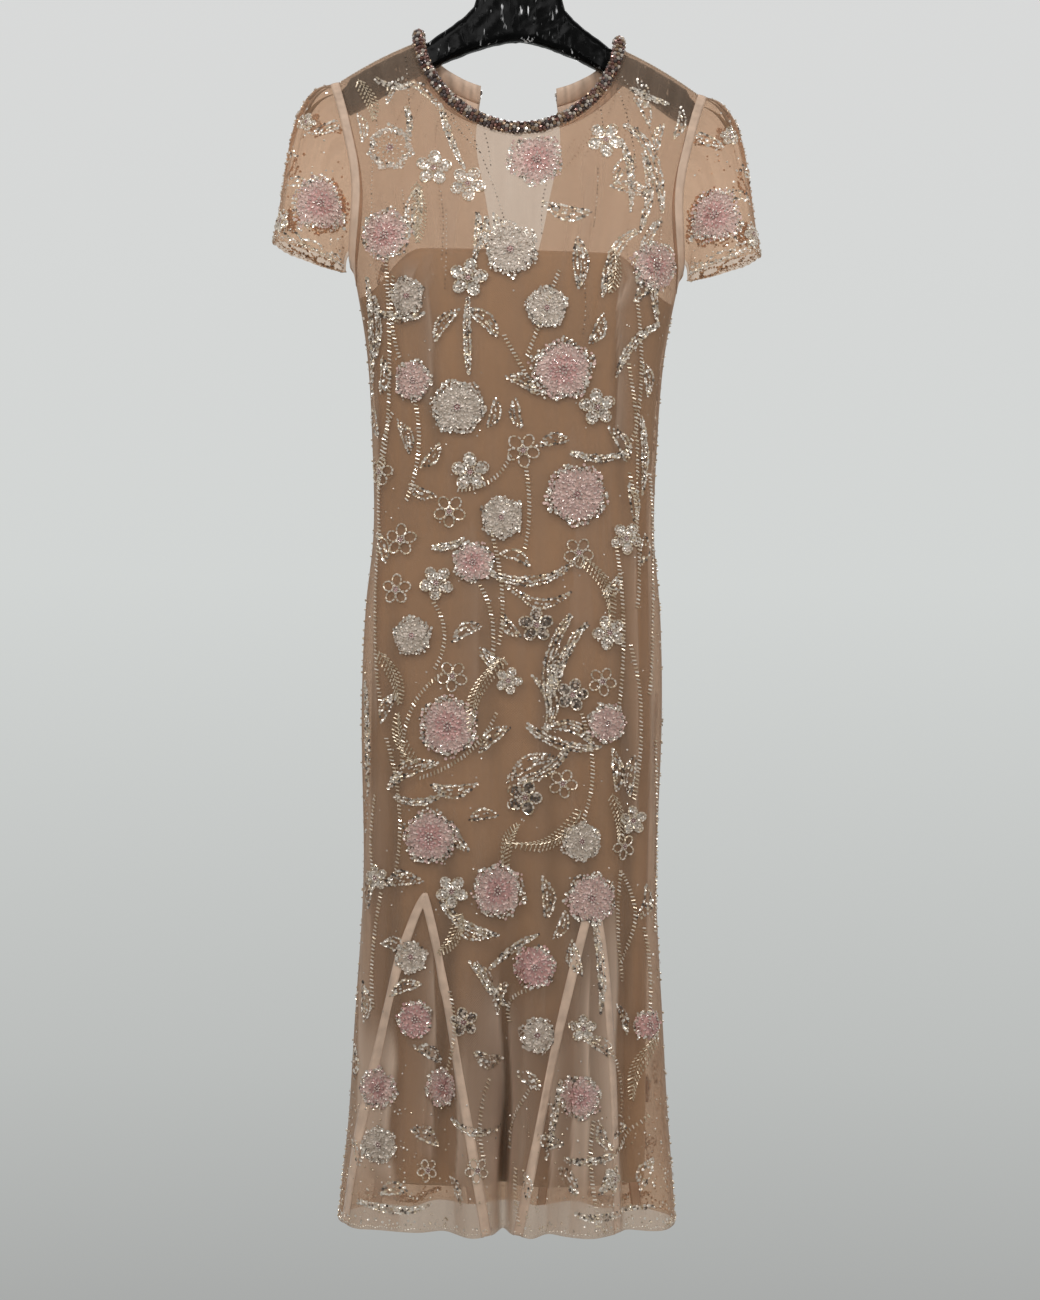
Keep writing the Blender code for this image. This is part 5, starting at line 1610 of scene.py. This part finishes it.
def rope_finish():
    """Faceted beads in mauve, brown, gold and silver, one shade each."""
    made, tree, shader = fresh_material("rope_gem")
    own = node(tree, "ShaderNodeAttribute", {"attribute_name": "tint"})
    ramp = node(tree, "ShaderNodeValToRGB", Fac=own.outputs["Fac"])
    ramp.color_ramp.interpolation = "CONSTANT"
    shades = (
        (0.0, (0.06, 0.032, 0.024)),
        (0.24, (0.20, 0.085, 0.062)),
        (0.46, (0.27, 0.15, 0.125)),
        (0.62, (0.36, 0.24, 0.15)),
        (0.78, (0.13, 0.10, 0.095)),
        (0.90, (0.66, 0.58, 0.50)),
    )
    stops = ramp.color_ramp.elements
    while len(stops) < len(shades):
        stops.new(0.5)
    for stop, (place, colour) in zip(stops, shades):
        stop.position = place
        stop.color = (*colour, 1.0)
    feed(
        tree, shader, Base_Color=ramp.outputs[0], Roughness=0.16, Metallic=0.55, Coat_Weight=0.7,
        Coat_Roughness=0.05,
    )
    return made


def rope_core_finish():
    made, tree, shader = fresh_material("rope_core")
    light, dark = shade((0.10, 0.055, 0.045)), shade((0.04, 0.022, 0.018))
    mottle = mottled(tree, object_vector(tree), light, dark, 300.0)
    feed(tree, shader, Base_Color=mottle.outputs["Colour"], Roughness=0.5)
    return made


def film_finish():
    """Black plastic under a glossy, wrinkled film, with painted highlights: pale streaks mixed into
    its colour along the film's crests.
    """
    made, tree, shader = fresh_material("film")
    place = object_vector(tree)
    colour = bpy.context.scene.dress_hanger.hanger_colour
    mottle = mottled(tree, place, shade(colour), shade(colour, 0.2), 60.0)
    long = stretched(tree, place, Rotation=(0.0, 0.25, 0.0), Scale=(1.0, 1.0, 0.22))
    crests = ranged(tree, noisy(tree, long, 230.0, 2.0, 0.6), 0.60, 0.68)
    gathers = ranged(tree, noisy(tree, place, 42.0, 2.0), 0.50, 0.62)
    # Painted highlights: where crests and patches meet, the colour turns pale.
    painted_glints = math_node(tree, "MULTIPLY", crests, gathers)
    colour_with_painted_glints = blended(tree, painted_glints, mottle.outputs["Colour"], shade((0.9,) * 3))
    relief = node(tree, "ShaderNodeBump", Strength=0.3, Distance=0.0006, Height=crests)
    rough = ranged(tree, mottle.outputs["Mask"], 0.0, 1.0, 0.12, 0.3)
    feed(
        tree, shader, Base_Color=colour_with_painted_glints, Roughness=rough, Normal=relief.outputs[0],
        Specular_IOR_Level=0.07,
    )
    return made


def steel_finish():
    made, tree, shader = fresh_material("steel")
    place = object_vector(tree)
    rough = ranged(tree, noisy(tree, place, 420.0, 4.0), 0.3, 0.7, 0.18, 0.4)
    mottle = mottled(tree, place, shade((0.55, 0.55, 0.56)), shade((0.38, 0.38, 0.39)), 120.0)
    feed(tree, shader, Base_Color=mottle.outputs["Colour"], Roughness=rough, Metallic=1.0)
    return made


# ---------------------------------------------------------------- what a user may change
def colour_choice(name, description, default):
    return FloatVectorProperty(
        name=name, description=description, subtype="COLOR", size=3, min=0, max=1, default=default
    )


def number_choice(name, description, default, low, high, **kind):
    return FloatProperty(
        name=name, description=description, default=default, min=low, max=high, **kind
    )


class DressLooks(bpy.types.PropertyGroup):
    net_wall: number_choice("Net wall", "Thickness of the net in millimetres", 0.5, 0.1, 1.2)
    slip_wall: number_choice("Slip wall", "Thickness of the slip in millimetres", 0.8, 0.2, 1.2)
    net_colour: colour_choice("Net", "Colour of the net", (0.52, 0.41, 0.32))
    net_glow: colour_choice(
        "Net lit through", "Colour of the light that the net lets through", (0.72, 0.54, 0.41)
    )
    net_tint: colour_choice(
        "Net tint", "Colour that one face of the net gives to what is seen through it",
        (0.985, 0.90, 0.825),
    )
    net_hole: number_choice(
        "Net between threads", "Opacity of one face of the net between its threads", 0.17, 0, 1,
        subtype="FACTOR",
    )
    net_thread: number_choice(
        "Net threads", "Opacity of one face of the net on its threads", 0.34, 0, 1, subtype="FACTOR"
    )
    slip_colour: colour_choice("Slip", "Colour of the slip", (0.53, 0.42, 0.29))
    tape_colour: colour_choice("Tape", "Colour of the seam tapes and facings", (0.74, 0.53, 0.39))
    silver_colour: colour_choice(
        "Silver sequins", "Lightest shade of the silver sequins", (0.96, 0.88, 0.78)
    )
    pink_colour: colour_choice(
        "Pink sequins", "Lightest shade of the pale pink sequins", (0.70, 0.48, 0.41)
    )
    rose_colour: colour_choice(
        "Rose sequins", "Lightest shade of the rose sequins", (0.67, 0.38, 0.335)
    )
    gold_colour: colour_choice(
        "Gold beads", "Lightest shade of the champagne beads", (0.88, 0.74, 0.56)
    )


class HangerLooks(bpy.types.PropertyGroup):
    hanger_colour: colour_choice("Hanger", "Colour of the hanger", (0.004, 0.004, 0.004))
    film_height: number_choice(
        "Film wrinkles", "Height of the film's wrinkles in millimetres", 0.6, 0, 2
    )
    gem_radius: number_choice(
        "Rope bead", "Radius of one bead of the neck rope in millimetres", 2.35, 1.5, 3
    )
    gems_round: IntProperty(
        name="Beads round the rope", description="Beads in one ring of the neck rope",
        default=8, min=6, max=10,
    )


class StageLooks(bpy.types.PropertyGroup):
    floor_drop: number_choice(
        "Floor", "How far the floor lies below the rail", 1.95, 1.5, 3, unit="LENGTH"
    )
    floor_radius: number_choice(
        "Floor radius", "Radius of the round floor", 1.5, 1, 5, unit="LENGTH"
    )
    floor_colour: colour_choice("Floor colour", "Colour of the floor", (0.62, 0.63, 0.62))
    key_watts: number_choice(
        "Key light", "Power of the large light in front", 21.0, 0, 200, unit="POWER"
    )


# ---------------------------------------------------------------- operators
class PieceOperator:
    """What the operators share: each is one step that can be undone."""

    bl_options = {"REGISTER", "UNDO"}


class DRESS_OT_net(PieceOperator, bpy.types.Operator):
    """The front and the two halves of the back in sheer net"""

    bl_idname = "dress.net"
    bl_label = "Net panels"

    def execute(self, context):
        quarter = math.pi / 2
        front = panel_patches(-1, -quarter, quarter, ("front_left", "front_right"), (64, 64))
        cloth("net_front", front, "sheer_net", ["front_panel"], (430.0, 1250.0, 0.74), net_veil_and_shade_mask)
        for name, first, last in (("left", -quarter, 0.0), ("right", 0.0, quarter)):
            half = panel_patches(1, first, last, ("back_" + name,), (56,))
            cut = (210.0, 1220.0, 0.74)
            cloth("net_back_" + name, half, "sheer_net", ["back_panel_" + name], cut, net_veil_and_shade_mask)
        return {"FINISHED"}


class DRESS_OT_godets(PieceOperator, bpy.types.Operator):
    """The four godets and the tapes over their seams"""

    bl_idname = "dress.godets"
    bl_label = "Godets and tapes"

    def execute(self, context):
        for name, godet in GODETS.items():
            wedge = [wedge_patch(name)]
            cut = (abs(godet[3] - godet[2]) * 1.25, HEM_DROP - GODET_DROP, 0.5)
            cloth("net_godet_" + name, wedge, "sheer_net", ["godet_" + name], cut, net_veil_and_shade_mask)
            cut = (2 * TAPE_WIDTH + 4, 370.0, 1.0)
            cloth("tape_" + name, tape_patches(name), "ribbon", ["godet_tape_" + name], cut)
        return {"FINISHED"}


class DRESS_OT_slip(PieceOperator, bpy.types.Operator):
    """The tan slip under the net"""

    bl_idname = "dress.slip"
    bl_label = "Slip"

    def execute(self, context):
        for name, side in (("front", -1), ("back", 1)):
            cut = (390.0, 975.0, 0.92)
            cloth("slip_" + name, [slip_patch(side)], "slip_crepe", ["lining_" + name], cut, slip_shade_mask)
        return {"FINISHED"}


class DRESS_OT_sleeves(PieceOperator, bpy.types.Operator):
    """The two cap sleeves and the bindings of their seams"""

    bl_idname = "dress.sleeves"
    bl_label = "Sleeves"

    def execute(self, context):
        def sleeve(across, down):
            step = mix(SLEEVE_START, ARMHOLE_ROUND - SLEEVE_START, across)
            share = down**1.1
            return sleeve_point(step, share), Vector((26.0 * step, 190.0 * share, 0.0))

        def binding(across, down):
            step = ARMHOLE_ROUND * across
            seam, normal, onward = armhole_frame(round(step % ARMHOLE_ROUND, 6))
            reach = mix(-0.6, ARMHOLE_TAPE + 2 * ARMHOLE_GAP + 0.6, down)
            pucker = 0.5 * math.sin(17 * step + 2 * math.sin(3 * step)) * math.sin(math.pi * down)
            point = seam + onward * reach + normal * (0.5 + pucker)
            return point, Vector((28.0 * step, 9 * down, 0.0))

        tucks = [tuck_patch(*loop) for loop in SLEEVE_TUCKS]
        for name, mirrored in (("right", False), ("left", True)):
            where = {"centre_x": -205.0 if mirrored else 205.0, "mirrored": mirrored}
            cut, node_name = (340.0, 145.0, 0.65), "sleeve_" + name
            grid = [(150, 34, sleeve)]
            cloth("net_" + node_name, grid, "sheer_net", [node_name], cut, sleeve_cover_and_light_mask, **where)
            cut, node_name = (480.0, 12.0, 0.8), "armhole_tape_" + name
            cloth("binding_" + name, [(160, 4, binding)], "ribbon", [node_name], cut, **where)
            cloth("tucks_" + name, tucks, "shaded_tuck_net", [], (160.0, 12.0, 0.42), **where)
        return {"FINISHED"}


class DRESS_OT_facings(PieceOperator, bpy.types.Operator):
    """The turned-in facings of the back neck"""

    bl_idname = "dress.facings"
    bl_label = "Back neck facings"

    def execute(self, context):
        for name, sign in (("left", -1), ("right", 1)):
            def facing(across, down, sign=sign):
                inward = mix(0.40, 1.0, across)
                low = max(0.0, (down - 0.35) / 0.65)
                angle, drop = bodice_place(1, round(inward, 5), round(3 / 13 * low, 5))
                turn = round_turn(sign * angle, 1)
                point, normal = lifted(net_point, turn, drop, 0.004, 0.5)
                gather = 1.1 * abs(math.sin(38 * inward + 2 * math.sin(9 * inward))) * (1 - 0.5 * down)
                point -= normal * (2.0 + gather)
                if down < 0.35:
                    centre = rope_centre(back_neck_turn() * ((inward - 0.3) / 0.7) ** 2, 1, sign)
                    rim = centre + Vector((0.0, -(ROPE_REACH + 1.6 + gather), 8.5))
                    point = rim.lerp(point, ease(down / 0.35))
                    point.y -= 3.0 * math.sin(math.pi * down / 0.35)
                return point, Vector((90 * inward, drop - 20 + 20 * down, 0.0))

            grid, cut = [(60, 26, facing)], (70.0, 46.0, 0.95)
            cloth("facing_" + name, grid, "ribbon", ["neck_facing_" + name], cut, facing_shade_mask, thin=0.7)
        return {"FINISHED"}


class DRESS_OT_rope(PieceOperator, bpy.types.Operator):
    """The rope of faceted beads round the neck"""

    bl_idname = "dress.rope"
    bl_label = "Neck rope"

    def execute(self, context):
        looks = context.scene.dress_hanger
        radius = looks.gem_radius
        line = [leaning(point) for point in rope_line(radius * 1.62)]
        trims = Trims(5)
        bm = bmesh.new()
        rings = []
        last = len(line) - 1
        core = ROPE_RADIUS - radius
        for index, centre in enumerate(line):
            run = (line[min(last, index + 1)] - line[max(0, index - 1)]).normalized()
            side = run.cross(Vector((0, 0, 1)))
            if side.length < 0.2:
                side = run.cross(Vector((0, 1, 0)))
            side.normalize()
            over = side.cross(run)
            turn = Matrix((side, over, run)).transposed().to_4x4()
            ring = bmesh.ops.create_circle(
                bm, cap_ends=index in (0, last), segments=CORD_SIDES, radius=core * MM,
                matrix=Matrix.Translation(centre * MM) @ turn,
            )
            rings.append(set(ring["verts"]))
            for step in range(looks.gems_round):
                angle = math.tau * (step + 0.5 * (index % 2)) / looks.gems_round
                out = side * math.cos(angle) + over * math.sin(angle)
                grown = radius * trims.draw.uniform(0.88, 1.06)
                wobble = out * trims.draw.uniform(-0.35, 0.25)
                tipped = (run + out * trims.draw.uniform(-0.3, 0.3)).normalized()
                place = centre + out * (core + 0.8) + wobble
                trims.add("rope_gem", "gem", place, tipped, out.cross(run).normalized(), grown)
        for first, second in zip(rings, rings[1:]):
            edges = [edge for ring in (first, second) for edge in bm.edges if ring.issuperset(edge.verts)]
            bmesh.ops.bridge_loops(bm, edges=edges)
        bmesh.ops.recalc_face_normals(bm, faces=bm.faces)
        finished(bm, "rope_cord", finish_of("rope_core"), "beads", ["neck_rope"])
        trims.joined("neck", "beads")
        return {"FINISHED"}


def sew_panel(name, side, seed):
    """All the motifs of the front or the back."""
    trims = Trims(seed)

    def place(x, drop):
        return body_turn(x, drop, side), drop

    sewing = Sewing(Ground(net_point, (0.004, 0.5)), on_net, trims, place)

    def here(values):
        return [
            value if side < 0 else value + BACK_SHIFT if index % 2 else -value
            for index, value in enumerate(values)
        ]

    def chosen(rows, column=1):
        """All of a table in front; on the back, what lies below the yoke."""
        return [row for row in rows if side < 0 or row[column] > YOKE_DROP]

    for kind, x, drop, radius in chosen(FRONT_FLOWERS, 2):
        sewing.flower(kind, place(*here((x, drop))), radius)
    if side > 0:
        for kind, x, drop, radius in BACK_YOKE_FLOWERS:
            sewing.flower(kind, place(x, drop), radius)
    for x, drop, length, width, heading, bend in chosen(FRONT_LEAVES):
        sewing.leaf(place(*here((x, drop))), length, width, math.radians(heading), bend)
    for x, drop, length, heading, bend in chosen(FRONT_FERNS):
        sewing.fern(place(*here((x, drop))), length, math.radians(heading), bend)
    for line in chosen(FRONT_STEMS):
        sewing.stem(here(line))
    for line in FRONT_DOTS:
        sewing.dots(here(line))
    for line in chosen(FRONT_CHAINS):
        sewing.chain([*here(line[:6]), line[6]])
    sew_ridge(sewing, side)
    sew_sides(sewing, side)
    sew_hem(sewing, side)
    trims.joined(name, "beads")


def sew_ridge(sewing, side):
    """A line of seed beads along either shoulder."""
    for sign in (-1, 1):
        for step in range(26):
            x = mix(NECK_HALF_WIDTH + 10, SHOULDER_TIP - 3, step / 25)
            size = sewing.draw.uniform(0.65, 0.95)
            drop = ridge_drop(x) + 3.5
            sewing.glint((body_turn(sign * x, drop, side), drop), "crystal", size, 0.6)


def sew_sides(sewing, side):
    """Glints down either side, closer together towards the hem, and a few over the whole panel."""
    draw = sewing.draw
    for _ in range(260):
        drop = mix(HEM_DROP - 4, 440.0, draw.random() ** 1.5)
        angle = draw.choice((-1, 1)) * (math.pi / 2 - 0.34 * draw.random() ** 1.6)
        size = draw.uniform(0.8, 1.6)
        finish = draw.choice(("silver", "silver", "crystal", "gold"))
        sewing.glint((round_turn(angle, side), drop), finish, size, 0.8, 0.5)
    for _ in range(260):
        drop = draw.uniform(YOKE_DROP, HEM_DROP - 60)
        angle = draw.uniform(-1.3, 1.3)
        size = draw.uniform(0.6, 1.1)
        sewing.glint((round_turn(angle, side), drop), "silver", size, 0.8, 0.5)


def sew_hem(sewing, side):
    """Seed beads along the hem, with small scallops above them and a scatter of glints."""
    draw = sewing.draw
    count = 150
    for step in range(count):
        angle = mix(-math.pi / 2, math.pi / 2, (step + 0.5) / count)
        turn = round_turn(angle, side)
        size = draw.uniform(0.7, 1.0)
        rise = 2.5 + 1.8 * abs(math.sin(math.pi * step / 6))
        sewing.glint((turn, HEM_DROP - rise), "crystal", size, 0.7)
        if step % 3 == 0:
            sewing.glint((turn, HEM_DROP - rise - draw.uniform(4, 9)), "silver", 1.5, 0.7, 0.5)
    for _ in range(420):
        angle = draw.uniform(-math.pi / 2, math.pi / 2)
        drop = HEM_DROP - 5 - 130 * draw.random() ** 1.7
        finish = draw.choice(("silver", "crystal", "gold"))
        size = draw.uniform(0.7, 1.5)
        sewing.glint((round_turn(angle, side), drop), finish, size, 0.7, 0.4)


class DRESS_OT_front_sequins(PieceOperator, bpy.types.Operator):
    """Sequins and beads on the front"""

    bl_idname = "dress.front_sequins"
    bl_label = "Front sequins"

    def execute(self, context):
        sew_panel("front", -1, 11)
        return {"FINISHED"}


class DRESS_OT_back_sequins(PieceOperator, bpy.types.Operator):
    """Sequins and beads on the back"""

    bl_idname = "dress.back_sequins"
    bl_label = "Back sequins"

    def execute(self, context):
        sew_panel("back", 1, 23)
        return {"FINISHED"}


class DRESS_OT_sleeve_sequins(PieceOperator, bpy.types.Operator):
    """Sequins and beads on the sleeves"""

    bl_idname = "dress.sleeve_sequins"
    bl_label = "Sleeve sequins"

    def execute(self, context):
        for name, mirrored in (("right", False), ("left", True)):
            trims = Trims(31 + mirrored)
            ground = Ground(sleeve_point, (0.02, 0.01), mirrored)
            sewing = Sewing(ground, on_sleeve, trims, None)
            for behind in (False, True):
                for kind, step, share, radius in SLEEVE_FLOWERS:
                    centre = (ARMHOLE_ROUND - step, share - 0.06) if behind else (step, share)
                    sewing.flower(kind, centre, radius)
                for step, share, length, width, heading, bend in SLEEVE_LEAVES:
                    centre = (ARMHOLE_ROUND - step if behind else step, share)
                    sewing.leaf(centre, length, width, math.radians(heading), bend)
            for part in range(170):
                step = mix(SLEEVE_START + 0.1, ARMHOLE_ROUND - SLEEVE_START - 0.1, part / 169)
                rise = 0.012 + 0.016 * abs(math.sin(math.pi * part / 4))
                size = trims.draw.uniform(0.7, 1.0)
                sewing.glint((step, 1 - rise), "crystal", size, 0.6)
            for part in range(230):
                step = trims.draw.uniform(1, 15)
                share = 1 - 0.95 * trims.draw.random() ** 1.5
                if part % 3 == 0:
                    step = ARMHOLE_STEPS + trims.draw.uniform(-0.35, 0.35)
                    share = trims.draw.uniform(0.05, 1.0)
                size = trims.draw.uniform(0.8, 1.6)
                own = trims.draw.choice(("silver", "silver", "crystal"))
                sewing.glint((step, share), own, size, 0.7, 0.5)
            trims.joined("sleeve_" + name, "beads")
        return {"FINISHED"}


def merged_copy(solid):
    """A bmesh of a solid's node, with its points merged."""
    bm = bmesh.new()
    bm.from_mesh(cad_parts[solid].data)
    bmesh.ops.remove_doubles(bm, verts=bm.verts, dist=0.01 * MM)
    return bm


class DRESS_OT_hanger(PieceOperator, bpy.types.Operator):
    """The hanger in its wrinkled film, and its hook"""

    bl_idname = "dress.hanger"
    bl_label = "Hanger"

    def execute(self, context):
        height = context.scene.dress_hanger.film_height * MM
        bm = merged_copy("hanger")
        bmesh.ops.dissolve_limit(bm, angle_limit=math.radians(2), verts=bm.verts, edges=bm.edges)
        bmesh.ops.triangulate(bm, faces=bm.faces[:])
        for _ in range(5):
            long_edges = [edge for edge in bm.edges if edge.calc_length() > 5 * MM]
            bmesh.ops.subdivide_edges(bm, edges=long_edges, cuts=1)
            bmesh.ops.triangulate(bm, faces=bm.faces[:])
        bm.normal_update()
        moves = []
        for vert in bm.verts:
            place = Vector((vert.co.x * 48, vert.co.y * 60, vert.co.z * 44))
            ridge = 1 - abs(noise.noise(place)) * 2.4
            fine = 1 - abs(noise.noise(place * 2.3 + Vector((7, 1, 3)))) * 2.4
            rise = 0.9 * max(0.0, ridge) ** 2 + 0.5 * max(0.0, fine) ** 2 - 0.9
            moves.append(vert.normal * height * rise)
        for vert, move in zip(bm.verts, moves):
            vert.co += move
        finished(bm, "hanger_film", finish_of("film"), "hanger", ["hanger"])
        wire = finished(merged_copy("hook"), "hook_wire", finish_of("steel"), "hook", ["hook"])
        smooth = wire.modifiers.new("round", "SUBSURF")
        smooth.levels = 1
        smooth.render_levels = 1
        return {"FINISHED"}


class DRESS_OT_stage(PieceOperator, bpy.types.Operator):
    """The floor, the pale surroundings, the lights and the camera"""

    bl_idname = "dress.stage"
    bl_label = "Stage"

    def execute(self, context):
        looks = context.scene.dress_stage
        bm = bmesh.new()
        bmesh.ops.create_circle(bm, cap_ends=True, segments=96, radius=looks.floor_radius)
        bmesh.ops.translate(bm, verts=bm.verts, vec=(0, 0, -looks.floor_drop))
        mesh = bpy.data.meshes.new("floor")
        bm.to_mesh(mesh)
        bm.free()
        made, tree, shader = fresh_material("floor")
        colour = looks.floor_colour
        mottle = mottled(tree, object_vector(tree), shade(colour), shade(colour, 0.96), 3.0)
        feed(tree, shader, Base_Color=mottle.outputs["Colour"], Roughness=0.8)
        mesh.materials.append(made)
        floor = bpy.data.objects.new("floor", mesh)
        context.scene.collection.objects.link(floor)
        self.surroundings(context)
        self.lights(context, looks)
        self.camera(context)
        return {"FINISHED"}

    def surroundings(self, context):
        """A pale room that darkens downwards."""
        world = bpy.data.worlds.new("pale room")
        world.use_nodes = True
        tree = world.node_tree
        way = node(tree, "ShaderNodeTexCoord").outputs["Generated"]
        split = node(tree, "ShaderNodeSeparateXYZ", Vector=way)
        ramp = node(tree, "ShaderNodeValToRGB", Fac=ranged(tree, split.outputs[2], -0.34, 0.40))
        stops = ramp.color_ramp.elements
        stops[0].color = (0.33, 0.335, 0.33, 1)
        stops[1].color = (0.715, 0.715, 0.715, 1)
        for place, colour in ((0.22, (0.50, 0.515, 0.505)), (0.5, (0.645, 0.665, 0.655))):
            stop = stops.new(place)
            stop.color = (*colour, 1)
        facing = ranged(tree, split.outputs[1], -0.35, 0.35, 0.42, 1.0)
        feed(tree, tree.nodes["Background"], Color=ramp.outputs[0], Strength=facing)
        context.scene.world = world

    def lights(self, context, looks):
        rigs = (  # name, place, aimed at, side, watts
            ("key", (-0.7, -2.3, 0.75), (0, 0, -0.55), 1.3, looks.key_watts),
            ("fill", (1.9, -1.7, -0.1), (0, 0, -0.8), 1.0, looks.key_watts * 0.35),
            ("back", (0.3, 2.4, 0.6), (0, 0, -0.7), 1.4, looks.key_watts * 0.8),
            ("glint_left", (-1.2, -1.5, 0.5), (0, 0, -0.6), 0.12, looks.key_watts * 0.22),
            ("glint_top", (0.25, -1.6, 0.9), (0, 0, -0.6), 0.12, looks.key_watts * 0.25),
            ("glint_right", (1.3, -1.6, 0.2), (0, 0, -0.8), 0.12, looks.key_watts * 0.15),
        )
        for name, place, aim, side, watts in rigs:
            lamp = bpy.data.lights.new(name, "AREA")
            lamp.size = side
            lamp.energy = watts
            rig = bpy.data.objects.new(name, lamp)
            rig.location = place
            rig.rotation_euler = (Vector(aim) - Vector(place)).to_track_quat("-Z", "Y").to_euler()
            context.scene.collection.objects.link(rig)

    def camera(self, context):
        lens = bpy.data.cameras.new("camera")
        lens.sensor_fit = "VERTICAL"
        lens.sensor_height = 36.0
        lens.lens = 62.7
        camera = bpy.data.objects.new("camera", lens)
        camera.location = (0.008, -2.4, -0.806)
        camera.rotation_euler = (math.pi / 2, math.radians(-0.62), 0.0)
        context.scene.collection.objects.link(camera)
        context.scene.camera = camera
        context.scene.view_settings.view_transform = "Standard"
        context.scene.cycles.transparent_max_bounces = 28


class DRESS_PT_panel(bpy.types.Panel):
    """Lists the dress's pieces and what can be changed"""

    bl_idname = "DRESS_PT_panel"
    bl_label = "Sequin midi dress"
    bl_space_type = "VIEW_3D"
    bl_region_type = "UI"
    bl_category = "Dress"

    def draw(self, context):
        scene = context.scene
        for group in (scene.dress_looks, scene.dress_hanger, scene.dress_stage):
            box = self.layout.box()
            for name in group.__annotations__:
                box.prop(group, name)
        for operator in OPERATORS:
            self.layout.operator(operator.bl_idname)


OPERATORS = (
    DRESS_OT_stage,
    DRESS_OT_slip,
    DRESS_OT_net,
    DRESS_OT_godets,
    DRESS_OT_sleeves,
    DRESS_OT_facings,
    DRESS_OT_rope,
    DRESS_OT_front_sequins,
    DRESS_OT_back_sequins,
    DRESS_OT_sleeve_sequins,
    DRESS_OT_hanger,
)
CLASSES = (DressLooks, HangerLooks, StageLooks, *OPERATORS, DRESS_PT_panel)


def register():
    for cls in CLASSES:
        bpy.utils.register_class(cls)
    bpy.types.Scene.dress_looks = PointerProperty(type=DressLooks)
    bpy.types.Scene.dress_hanger = PointerProperty(type=HangerLooks)
    bpy.types.Scene.dress_stage = PointerProperty(type=StageLooks)


def unregister():
    del bpy.types.Scene.dress_stage
    del bpy.types.Scene.dress_hanger
    del bpy.types.Scene.dress_looks
    for cls in reversed(CLASSES):
        bpy.utils.unregister_class(cls)


def main():
    register()
    for operator in OPERATORS:
        group, name = operator.bl_idname.split(".")
        getattr(getattr(bpy.ops, group), name)()


if __name__ == "__main__":
    main()
